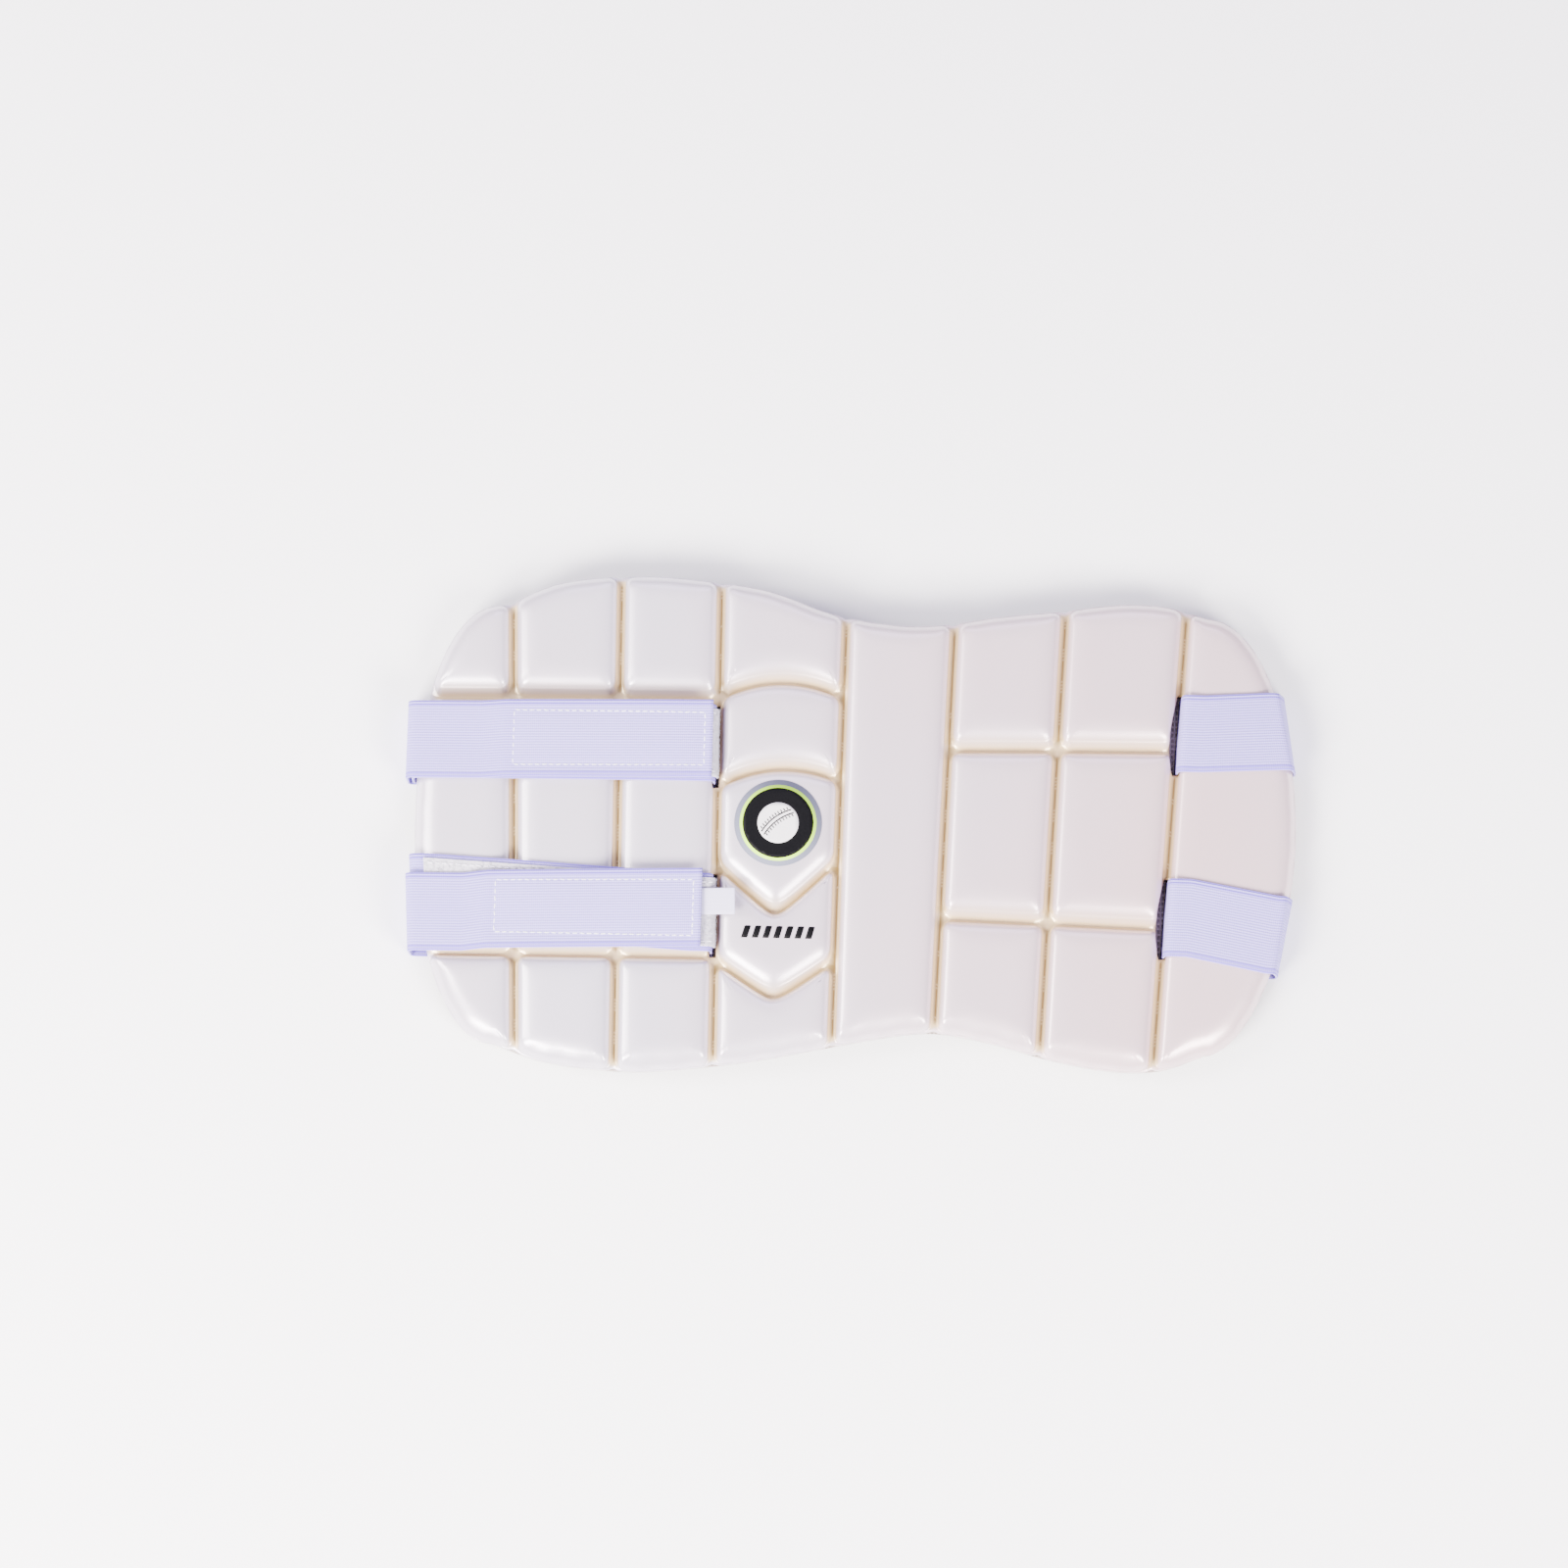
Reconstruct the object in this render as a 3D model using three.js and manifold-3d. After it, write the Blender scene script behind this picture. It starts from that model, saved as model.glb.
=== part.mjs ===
import * as THREE from 'three';
import { mergeVertices } from 'three/addons/utils/BufferGeometryUtils.js';
import Module from 'manifold-3d';

const wasm = await Module();
wasm.setup();

// Cricket chest guard, millimetres. It lies on its back: front face up, collar edge towards +Y.
const halfLength = 241.5;
const bowRise = 12; // the elastics draw the ends back, so the middle stands this much higher
const seatHeight = 3.6; // lining above the surface at the two ends, where the elastics pass under
const layerGap = 0.3;

const liningThickness = 2;
const foamThickness = 14.7; // lining side to the top of the blocks
const floorThickness = 6; // foam left under the grooves
const padThickness = liningThickness + layerGap + foamThickness;
const edgeLip = 0.8; // the foam sheet stands this far out past the blocks' feet

const grooveWidth = 4.8;
const rowGrooveWidth = 5.4;
const blockRound = 7;
const cornerSteps = 3;
const bevelRun = 5;
const bevelRise = 5.5;
const bevelSteps = 3;
const blockCrown = 0.6;
const footDepth = 3; // the blocks' feet reach this far into the foam sheet

const slotWidth = 5.4;
const slotLength = 48;

const strapWidth = 43;
const strapThickness = 1.4;
const pileWidth = 38;
const pileThickness = 1.2;
const hookWidth = 32;
const hookThickness = 1;
const labelLength = 24;
const labelWidth = 14.5;
const labelThickness = 0.8;

// Height of the pad's collar edge and waist edge across the guard
const edgeStations = [
  { x: -196, top: 117.0, bottom: -125.3 },
  { x: -165, top: 129.8, bottom: -135.2 },
  { x: -120, top: 134.0, bottom: -139.4 },
  { x: -85, top: 131.9, bottom: -136.7 },
  { x: -50, top: 126.6, bottom: -131.8 },
  { x: -15, top: 114.6, bottom: -124.5 },
  { x: 20, top: 109.3, bottom: -117.5 },
  { x: 45, top: 110.0, bottom: -114.8 },
  { x: 75, top: 115.2, bottom: -119.3 },
  { x: 110, top: 119.8, bottom: -128.0 },
  { x: 145, top: 124.8, bottom: -133.0 },
  { x: 170, top: 124.2, bottom: -131.2 },
  { x: 193, top: 118.4, bottom: -122.5 },
];

// Beyond its last station each end closes in a rounded corner, a quarter of a superellipse of this power
const endPowers = {
  left: { top: 2.3, bottom: 2.0 },
  right: { top: 2.0, bottom: 1.75 },
};

// Long grooves from collar to waist: where each crosses the middle, and its lean
const longGrooves = [
  { midX: -187.9, lean: -0.0364 },
  { midX: -130.8, lean: -0.0135 },
  { midX: -76.3, lean: -0.0072 },
  { midX: -9.5, lean: 0.0129 },
  { midX: 48.1, lean: 0.0325 },
  { midX: 107.4, lean: 0.0455 },
  { midX: 172.0, lean: 0.0644 },
];

// Cross grooves of a column: height at its left side, its right side and at the peak between them
const sideRows = [
  { form: 'line', left: 67, peak: 67, right: 67 },
  { form: 'line', left: -75.6, peak: -75.6, right: -75.6 },
];
const crestRows = [
  { form: 'arc', left: 67.9, peak: 77.3, right: 69.9 },
  { form: 'arc', left: 18.5, peak: 29.0, right: 22.9 },
  { form: 'chevron', left: -24.7, peak: -50.0, right: -21.7 },
  { form: 'chevron', left: -77.2, peak: -96.4, right: -75.7 },
];
const ribRows = [
  { form: 'line', left: 41.6, peak: 42.5, right: 43.3 },
  { form: 'line', left: -51.5, peak: -52.0, right: -52.5 },
];
const flankRows = [
  { form: 'line', left: 43.3, peak: 44.2, right: 45.0 },
  { form: 'line', left: -52.5, peak: -53.0, right: -53.5 },
];
const columns = [sideRows, sideRows, sideRows, crestRows, [], ribRows, flankRows, []];
const chevronRound = 0.16; // roundness of a chevron's tip, as a share of its half width
const rowSamples = 8;

// Slots in the third and the last long groove
const slots = {
  upperLeft: { groove: 2, y: 41.7 },
  lowerLeft: { groove: 2, y: -52.3 },
  upperRight: { groove: 6, y: 51.5 },
  lowerRight: { groove: 6, y: -50.6 },
};

// Long elastics. Each fold gives its place, and skew, how far it leans along X for each millimetre of Y.
const longStraps = {
  upper: {
    slot: slots.upperRight,
    slotY: 52.7,
    rightFold: { x: 238.5, y: 55.8, skew: -0.151 },
    leftFold: { x: -246.9, y: 39.6, skew: 0 },
    end: { x: -79.4, y: 41.6 },
    hookFrom: -190,
    hookTo: -84,
  },
  lower: {
    slot: slots.lowerRight,
    slotY: -49.5,
    rightFold: { x: 236.3, y: -57.1, skew: 0.189 },
    leftFold: { x: -243.6, y: -55.9, skew: -0.064 },
    end: { x: -83, y: -51.5 },
    hookFrom: -197,
    hookTo: -93,
  },
};

// Short elastics with pile tape, from the left slots to a fold round the left edge
const loopStraps = {
  upper: { slot: slots.upperLeft, slotY: 40.1, fold: { x: -243.9, y: 40.0, skew: 0 } },
  lower: { slot: slots.lowerLeft, slotY: -53.5, fold: { x: -241.9, y: -44.9, skew: -0.08 } },
};
const tailLength = 32; // sewn-down end of an elastic behind the lining
const foldTail = 36; // part of a short elastic that is turned under the left edge
const pileFrom = -234;
const pileTo = -82;
const label = { x: -90.5, y: -45.8 };

const colours = {
  foam: { color: '#ece8e6', roughness: 0.38 },
  lining: { color: '#453c3e', roughness: 0.95 },
  elastic: { color: '#dcd8f4', roughness: 0.85 },
  pile: { color: '#e4e1ea', roughness: 1 },
  hook: { color: '#e9e7ef', roughness: 0.8 },
  label: { color: '#f0eff6', roughness: 0.6 },
};

const bow = (x) => bowRise * (1 - (x / halfLength) ** 2);
const liningZ = (x) => seatHeight + bow(x);
const frontZ = (x) => liningZ(x) + padThickness;
const grooveX = (groove, y) => longGrooves[groove].midX + longGrooves[groove].lean * y;
const mix = THREE.MathUtils.lerp;

function stationSlope(index, side) {
  const before = edgeStations[Math.max(index - 1, 0)];
  const after = edgeStations[Math.min(index + 1, edgeStations.length - 1)];
  return (after[side] - before[side]) / (after.x - before.x);
}

// Height of the pad's edge at x: a smooth curve through the stations, a superellipse corner beyond them
function edgeHeight(x, side) {
  const first = edgeStations[0];
  const last = edgeStations[edgeStations.length - 1];
  if (x < first.x || x > last.x) {
    const join = x < first.x ? first : last;
    const power = endPowers[x < first.x ? 'left' : 'right'][side];
    const reach = Math.min((x - join.x) / (Math.sign(join.x) * halfLength - join.x), 1);
    return join[side] * (1 - reach ** power) ** (1 / power);
  }
  const index = Math.min(edgeStations.findLastIndex((row) => row.x <= x), edgeStations.length - 2);
  const a = edgeStations[index];
  const b = edgeStations[index + 1];
  const span = b.x - a.x;
  const t = (x - a.x) / span;
  const startPull = stationSlope(index, side) * span;
  const endPull = stationSlope(index + 1, side) * span;
  const rise = b[side] - a[side];
  const squared = 3 * rise - 2 * startPull - endPull;
  const cubed = startPull + endPull - 2 * rise;
  return a[side] + t * (startPull + t * (squared + t * cubed));
}

// Stations along X, even over the middle and crowded towards the rounded ends
function outlineStations() {
  const evenSteps = 32;
  const endSteps = 6;
  const lastAngle = THREE.MathUtils.degToRad(83);
  const leftX = edgeStations[0].x;
  const rightX = edgeStations[edgeStations.length - 1].x;
  const stations = [];
  for (let i = endSteps; i > 0; i--) {
    stations.push(leftX - (halfLength + leftX) * Math.sin((lastAngle * i) / endSteps));
  }
  for (let i = 0; i <= evenSteps; i++) {
    stations.push(mix(leftX, rightX, i / evenSteps));
  }
  for (let i = 1; i <= endSteps; i++) {
    stations.push(rightX + (halfLength - rightX) * Math.sin((lastAngle * i) / endSteps));
  }
  return stations;
}

function bend(geometry) {
  const position = geometry.attributes.position;
  for (let i = 0; i < position.count; i++) {
    position.setZ(i, position.getZ(i) + bow(position.getX(i)));
  }
  return geometry;
}

// A sheet with the pad's outline, grown by lip, lying from its bottom height up by its thickness
function padSheet(bottomZ, thickness, lip) {
  const stations = outlineStations();
  const steps = stations.length - 1;
  const stretch = 1 + lip / halfLength;
  const geometry = new THREE.BoxGeometry(1, 1, thickness, steps, 1, 1);
  const position = geometry.attributes.position;
  for (let i = 0; i < position.count; i++) {
    const x = stations[Math.round((position.getX(i) + 0.5) * steps)];
    const onTop = position.getY(i) > 0;
    const y = onTop ? edgeHeight(x, 'top') + lip : edgeHeight(x, 'bottom') - lip;
    position.setXYZ(i, x * stretch, y, position.getZ(i) + bottomZ + thickness / 2);
  }
  return bend(geometry);
}

// Keeps the part of an outline where inside is positive, following the cut's own curve where it has one
function clipOutline(points, inside, alongCut) {
  const start = points.findIndex((p) => inside(p) > 0);
  const ring = [...points.slice(start), ...points.slice(0, start)];
  const kept = [];
  let leaving = null;
  ring.forEach((a, i) => {
    const b = ring[(i + 1) % ring.length];
    const valueA = inside(a);
    const valueB = inside(b);
    if (valueA > 0) kept.push(a);
    if (valueA > 0 === valueB > 0) return;
    const crossing = a.clone().lerp(b, valueA / (valueA - valueB));
    if (valueB > 0 && alongCut) kept.push(...alongCut(leaving, crossing));
    kept.push(crossing);
    leaving = crossing;
  });
  return kept;
}

function rowHeight(row, share) {
  const between = mix(row.left, row.right, share);
  const middle = (row.left + row.right) / 2;
  if (row.form === 'line') return between;
  if (row.form === 'arc') return between + (row.peak - middle) * 4 * share * (1 - share);
  const farEnd = Math.hypot(1, chevronRound);
  const fold = (farEnd - Math.hypot(2 * share - 1, chevronRound)) / (farEnd - chevronRound);
  return between + (row.peak - middle) * fold;
}

// Rounds an outline's sharp corners, dropping the points that lie within reach of them
function roundCorners(points, reach) {
  const sharpTurn = THREE.MathUtils.degToRad(32);
  const clearance = reach * 1.25;
  const isSharp = points.map((p, i) => {
    const before = p.clone().sub(points.at(i - 1));
    const after = points[(i + 1) % points.length].clone().sub(p);
    return Math.abs(Math.atan2(before.cross(after), before.dot(after))) > sharpTurn;
  });
  const corners = points.filter((p, i) => isSharp[i]);
  const rounded = [];
  points.forEach((p, i) => {
    if (!isSharp[i]) {
      if (corners.every((corner) => corner.distanceTo(p) > clearance)) rounded.push(p);
      return;
    }
    const towards = (step) => {
      let k = 1;
      while (points.at((i + step * k) % points.length).distanceTo(p) < clearance) k++;
      const next = points.at((i + step * k) % points.length);
      return p.clone().add(next.clone().sub(p).setLength(reach));
    };
    const curve = new THREE.QuadraticBezierCurve(towards(-1), p, towards(1));
    rounded.push(...curve.getPoints(cornerSteps));
  });
  return rounded;
}

// Foot outlines of all blocks: the pad's outline cut by the grooves on each side of a block
function blockOutlines() {
  const stations = outlineStations();
  const collar = stations.map((x) => new THREE.Vector2(x, edgeHeight(x, 'top')));
  const waist = stations.map((x) => new THREE.Vector2(x, edgeHeight(x, 'bottom')));
  const whole = [...waist, ...collar.reverse()];
  const halfGroove = grooveWidth / 2;
  const halfRow = rowGrooveWidth / 2;
  const outlines = [];
  columns.forEach((rows, c) => {
    let column = whole;
    if (c > 0) column = clipOutline(column, (p) => p.x - grooveX(c - 1, p.y) - halfGroove);
    if (c < longGrooves.length) column = clipOutline(column, (p) => grooveX(c, p.y) - p.x - halfGroove);
    const leftX = c > 0 ? longGrooves[c - 1].midX : -halfLength;
    const rightX = c < longGrooves.length ? longGrooves[c].midX : halfLength;
    const rowAt = (row, x) => rowHeight(row, (x - leftX) / (rightX - leftX));
    const follow = (row, shift) => (from, to) => {
      const points = [];
      for (let k = 1; k < rowSamples && row.form !== 'line'; k++) {
        const x = mix(from.x, to.x, k / rowSamples);
        points.push(new THREE.Vector2(x, rowAt(row, x) + shift));
      }
      return points;
    };
    for (let r = 0; r <= rows.length; r++) {
      let block = column;
      if (r > 0) {
        const above = rows[r - 1];
        block = clipOutline(block, (p) => rowAt(above, p.x) - halfRow - p.y, follow(above, -halfRow));
      }
      if (r < rows.length) {
        const below = rows[r];
        block = clipOutline(block, (p) => p.y - rowAt(below, p.x) - halfRow, follow(below, halfRow));
      }
      outlines.push(roundCorners(block, blockRound));
    }
  });
  return outlines;
}

// Moves an outline's point inwards, square to its edges
function insetPoint(outline, index, inset) {
  const here = outline[index];
  const before = here.clone().sub(outline.at(index - 1)).normalize();
  const after = outline[(index + 1) % outline.length].clone().sub(here).normalize();
  const inward = new THREE.Vector2(-before.y - after.y, before.x + after.x);
  return here.clone().addScaledVector(inward, inset / (1 + before.dot(after)));
}

// A block stands on the foam sheet, its foot sunk in it: straight wall, rounded shoulder and a slight crown
function foamBlock(outline, floorZ, topZ) {
  const rings = [{ inset: 0, z: floorZ - footDepth }];
  for (let k = 0; k <= bevelSteps; k++) {
    const turn = (Math.PI / 2) * (k / bevelSteps);
    const drop = blockCrown + bevelRise * (1 - Math.sin(turn));
    rings.push({ inset: bevelRun * (1 - Math.cos(turn)), z: topZ - drop });
  }
  const centre = outline.reduce((sum, p) => sum.add(p), new THREE.Vector2()).divideScalar(outline.length);
  const profile = [new THREE.Vector2(0, floorZ - footDepth)];
  rings.forEach((ring) => profile.push(new THREE.Vector2(1, ring.z)));
  profile.push(new THREE.Vector2(0, topZ));
  const geometry = new THREE.LatheGeometry(profile, outline.length);
  const position = geometry.attributes.position;
  for (let i = 0; i < position.count; i++) {
    const level = i % profile.length;
    const index = Math.floor(i / profile.length) % outline.length;
    const ring = rings[level - 1];
    const place = ring ? insetPoint(outline, index, ring.inset) : centre;
    position.setXYZ(i, place.x, place.y, profile[level].y);
  }
  return bend(geometry);
}

function slotCutter(slot) {
  const height = 4 * padThickness;
  const geometry = new THREE.BoxGeometry(slotWidth, slotLength, height);
  geometry.rotateZ(-longGrooves[slot.groove].lean);
  geometry.translate(grooveX(slot.groove, slot.y), slot.y, height / 4);
  return geometry;
}

function solidOf(geometry) {
  geometry.deleteAttribute('normal');
  geometry.deleteAttribute('uv');
  const merged = mergeVertices(geometry, 1e-4);
  const corners = merged.index.array;
  const kept = [];
  for (let i = 0; i < corners.length; i += 3) {
    const [a, b, c] = corners.slice(i, i + 3);
    if (a !== b && b !== c && c !== a) kept.push(a, b, c);
  }
  return new wasm.Manifold(new wasm.Mesh({
    numProp: 3,
    vertProperties: new Float32Array(merged.attributes.position.array),
    triVerts: new Uint32Array(kept),
  }));
}

function geometryOf(solid) {
  const { vertProperties, triVerts, numProp } = solid.getMesh();
  const geometry = new THREE.BufferGeometry();
  const positions = new Float32Array((vertProperties.length / numProp) * 3);
  for (let i = 0; i < positions.length / 3; i++) {
    positions.set(vertProperties.subarray(i * numProp, i * numProp + 3), i * 3);
  }
  geometry.setAttribute('position', new THREE.BufferAttribute(positions, 3));
  geometry.setIndex(new THREE.BufferAttribute(new Uint32Array(triVerts), 1));
  geometry.computeVertexNormals();
  return geometry;
}

function cutSlots(solid) {
  return Object.values(slots).reduce((rest, slot) => rest.subtract(solidOf(slotCutter(slot))), solid);
}

function foamBody() {
  const undersideZ = seatHeight + liningThickness + layerGap;
  const floorZ = undersideZ + floorThickness;
  const topZ = seatHeight + padThickness;
  const sheet = solidOf(padSheet(undersideZ, floorThickness, edgeLip));
  const blocks = blockOutlines().map((outline) => solidOf(foamBlock(outline, floorZ, topZ)));
  return geometryOf(cutSlots(blocks.reduce((body, block) => body.add(block), sheet)));
}

function backLining() {
  return geometryOf(cutSlots(solidOf(padSheet(seatHeight, liningThickness, edgeLip))));
}

// A strap's run seen edge-on: straight stretches in short steps, corners with a round turned in an arc
function roundedRun(corners) {
  const stepLength = 26;
  const turnSteps = 4;
  const asVector = (corner) => new THREE.Vector4(corner.x, corner.z, corner.y, corner.skew ?? 0);
  const distance = (a, b) => Math.hypot(a.x - b.x, a.y - b.y);
  const towards = (from, to, reach) => from.clone().lerp(to, reach / distance(from, to));
  const points = [];
  let last = asVector(corners[0]);
  const straightTo = (end) => {
    const steps = Math.max(1, Math.ceil(distance(last, end) / stepLength));
    for (let k = 1; k <= steps; k++) points.push(last.clone().lerp(end, k / steps));
    last = end;
  };
  points.push(last);
  for (let i = 1; i < corners.length; i++) {
    const here = asVector(corners[i]);
    const reach = corners[i].round ?? 0;
    if (reach === 0) {
      straightTo(here);
      continue;
    }
    const from = towards(here, last, reach);
    const to = towards(here, asVector(corners[i + 1]), reach);
    straightTo(from);
    for (let k = 1; k <= turnSteps; k++) {
      const t = k / turnSteps;
      points.push(from.clone().lerp(here, t).lerp(here.clone().lerp(to, t), t));
    }
    last = to;
  }
  return points.map((p) => ({ x: p.x, z: p.y, y: p.z, skew: p.w }));
}

// A flat band of even width and thickness along a run
function band(run, width, thickness) {
  const steps = run.length - 1;
  const geometry = new THREE.BoxGeometry(1, width, thickness, steps, 1, 1);
  const position = geometry.attributes.position;
  for (let i = 0; i < position.count; i++) {
    const index = Math.round((position.getX(i) + 0.5) * steps);
    const here = run[index];
    const before = run[Math.max(index - 1, 0)];
    const after = run[Math.min(index + 1, steps)];
    const along = new THREE.Vector2(after.x - before.x, after.z - before.z).normalize();
    const across = position.getY(i);
    const out = position.getZ(i);
    position.setXYZ(
      i,
      here.x - along.y * out + here.skew * across,
      here.y + across,
      here.z + along.x * out,
    );
  }
  geometry.computeVertexNormals();
  return geometry;
}

// Corners of a run that lies on the front or under the lining, following the pad's bow between two places
function bowedRun(from, to, height) {
  const steps = Math.max(1, Math.round(Math.abs(to.x - from.x) / 30));
  const corners = [];
  for (let k = 0; k <= steps; k++) {
    const t = k / steps;
    const x = mix(from.x, to.x, t);
    corners.push({ x, y: mix(from.y, to.y, t), z: height(x), skew: mix(from.skew ?? 0, to.skew ?? 0, t) });
  }
  return corners;
}

const halfStrap = strapThickness / 2;
const underLining = (x) => liningZ(x) - layerGap - halfStrap;
const onFront = (x) => frontZ(x) + layerGap + halfStrap;
const onLoop = (x) => onFront(x) + halfStrap + layerGap + pileThickness / 2;
const onPile = (x) => onLoop(x) + pileThickness / 2 + layerGap + halfStrap;
const onHook = (x) => onPile(x) + hookThickness + layerGap;
const hookLevel = (x) => onPile(x) - halfStrap + hookThickness / 2;
const slotTurn = 5;
const edgeTurn = 6;
const underTurn = 3;
const slotSlack = 1.6; // a strap hangs this much under the slot before it turns along the lining
const shoulderInset = 9; // where a strap leaves the front face for the rounded edge

// Corners of an elastic's sewn tail and its way up through a slot; side is the slot wall that it lies against
function slotRun(slot, y, side) {
  const rise = grooveX(slot.groove, y) + side * (slotWidth / 2 - layerGap - halfStrap);
  const place = { x: rise, y, skew: longGrooves[slot.groove].lean };
  const tailEnd = { ...place, x: rise + tailLength };
  const tailStart = { ...place, x: rise + slotTurn + underTurn };
  return [
    ...bowedRun(tailEnd, tailStart, underLining),
    { ...place, z: underLining(rise) - slotSlack, round: underTurn },
    { ...place, z: onFront(rise), round: slotTurn },
    { ...place, x: rise + side * (slotTurn + 1), z: onFront(rise + side * (slotTurn + 1)) },
  ];
}

// Long elastic: sewn tail, up the right slot, round the right edge, behind, round the left edge, front end
function longStrap(strap) {
  const { rightFold, leftFold, end } = strap;
  const fromSlot = slotRun(strap.slot, strap.slotY, 1);
  const overRight = { ...rightFold, x: rightFold.x - shoulderInset };
  const overLeft = { ...leftFold, x: leftFold.x + shoulderInset };
  const dropFrom = { x: strap.hookFrom - 16, y: leftFold.y };
  const dropTo = { x: strap.hookFrom - 3, y: mix(leftFold.y, end.y, 0.35) };
  return band(roundedRun([
    ...fromSlot,
    ...bowedRun(fromSlot.at(-1), overRight, onFront).slice(1),
    { ...rightFold, z: onFront(rightFold.x), round: edgeTurn },
    { ...rightFold, z: halfStrap, round: underTurn },
    { ...leftFold, z: halfStrap, round: underTurn },
    { ...leftFold, z: onPile(leftFold.x), round: edgeTurn },
    ...bowedRun(overLeft, dropFrom, onPile),
    ...bowedRun(dropTo, end, onHook),
  ]), strapWidth, strapThickness);
}

// Short elastic: sewn tail behind the lining, up the left slot, over the front, turned under the left edge
function loopStrap(strap) {
  const { fold } = strap;
  const fromSlot = slotRun(strap.slot, strap.slotY, -1);
  const overEdge = { ...fold, x: fold.x + shoulderInset };
  const underEdge = { ...fold, x: fold.x + underTurn + 2 };
  const turnedEnd = { ...fold, x: fold.x + foldTail };
  return band(roundedRun([
    ...fromSlot,
    ...bowedRun(fromSlot.at(-1), overEdge, onFront).slice(1),
    { ...fold, z: onFront(fold.x), round: edgeTurn },
    { ...fold, z: underLining(fold.x), round: underTurn },
    ...bowedRun(underEdge, turnedEnd, underLining),
  ]), strapWidth, strapThickness);
}

// Place on a short elastic's centre line at x
function alongLoop(strap, x) {
  const slotX = grooveX(strap.slot.groove, strap.slot.y);
  const share = (x - slotX) / (strap.fold.x - slotX);
  return { x, y: mix(strap.slotY, strap.fold.y, share), skew: strap.fold.skew * share };
}

function pileTape(strap) {
  const run = bowedRun(alongLoop(strap, pileTo), alongLoop(strap, pileFrom), onLoop);
  return band(roundedRun(run), pileWidth, pileThickness);
}

function hookPatch(strap) {
  const share = (x) => (x - strap.leftFold.x) / (strap.end.x - strap.leftFold.x);
  const place = (x) => ({ x, y: mix(strap.leftFold.y, strap.end.y, share(x)) });
  const run = bowedRun(place(strap.hookTo), place(strap.hookFrom), hookLevel);
  return band(roundedRun(run), hookWidth, hookThickness);
}

// Blank tab held under the lower strap's end, hanging out over the slot
function sizeLabel() {
  const level = (x) => onPile(x) - halfStrap + labelThickness / 2;
  const tip = { x: label.x + labelLength, y: label.y };
  return band(roundedRun(bowedRun(tip, label, level)), labelWidth, labelThickness);
}

function pieceOf(name, geometry, finish) {
  const material = new THREE.MeshStandardMaterial({ ...finish, metalness: 0 });
  const mesh = new THREE.Mesh(geometry, material);
  mesh.name = name;
  return mesh;
}

const guard = new THREE.Group();
guard.add(pieceOf('foam_body', foamBody(), colours.foam));
guard.add(pieceOf('back_lining', backLining(), colours.lining));
for (const place of ['upper', 'lower']) {
  guard.add(pieceOf(`${place}_strap`, longStrap(longStraps[place]), colours.elastic));
  guard.add(pieceOf(`${place}_loop_strap`, loopStrap(loopStraps[place]), colours.elastic));
  guard.add(pieceOf(`${place}_pile_tape`, pileTape(loopStraps[place]), colours.pile));
  guard.add(pieceOf(`${place}_hook_patch`, hookPatch(longStraps[place]), colours.hook));
}
guard.add(pieceOf('size_label', sizeLabel(), colours.label));

// The origin lies under the middle of the whole guard, on the surface that it rests on
const extent = new THREE.Box3().setFromObject(guard, true);
const middle = extent.getCenter(new THREE.Vector3());
guard.position.set(-middle.x, -middle.y, -extent.min.z);

export default guard;
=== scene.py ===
import math
import bpy
import numpy as np
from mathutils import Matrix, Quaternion, Vector
from mathutils.bvhtree import BVHTree
from mathutils.geometry import delaunay_2d_cdt


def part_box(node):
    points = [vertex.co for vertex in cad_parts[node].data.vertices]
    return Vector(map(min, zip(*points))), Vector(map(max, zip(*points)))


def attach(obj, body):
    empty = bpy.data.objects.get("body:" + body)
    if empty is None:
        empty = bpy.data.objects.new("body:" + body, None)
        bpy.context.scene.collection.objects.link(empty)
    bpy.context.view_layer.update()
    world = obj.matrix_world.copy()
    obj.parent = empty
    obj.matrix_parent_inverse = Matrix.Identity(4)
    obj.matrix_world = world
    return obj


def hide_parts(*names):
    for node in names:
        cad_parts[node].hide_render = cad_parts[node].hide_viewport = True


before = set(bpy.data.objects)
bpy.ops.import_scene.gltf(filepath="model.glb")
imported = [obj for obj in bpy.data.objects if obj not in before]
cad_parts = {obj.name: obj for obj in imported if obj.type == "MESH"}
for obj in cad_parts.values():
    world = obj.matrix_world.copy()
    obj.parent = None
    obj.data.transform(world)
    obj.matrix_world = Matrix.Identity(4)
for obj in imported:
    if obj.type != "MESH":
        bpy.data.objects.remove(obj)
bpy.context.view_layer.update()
mm = 0.001
print("frame loaded")

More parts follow.
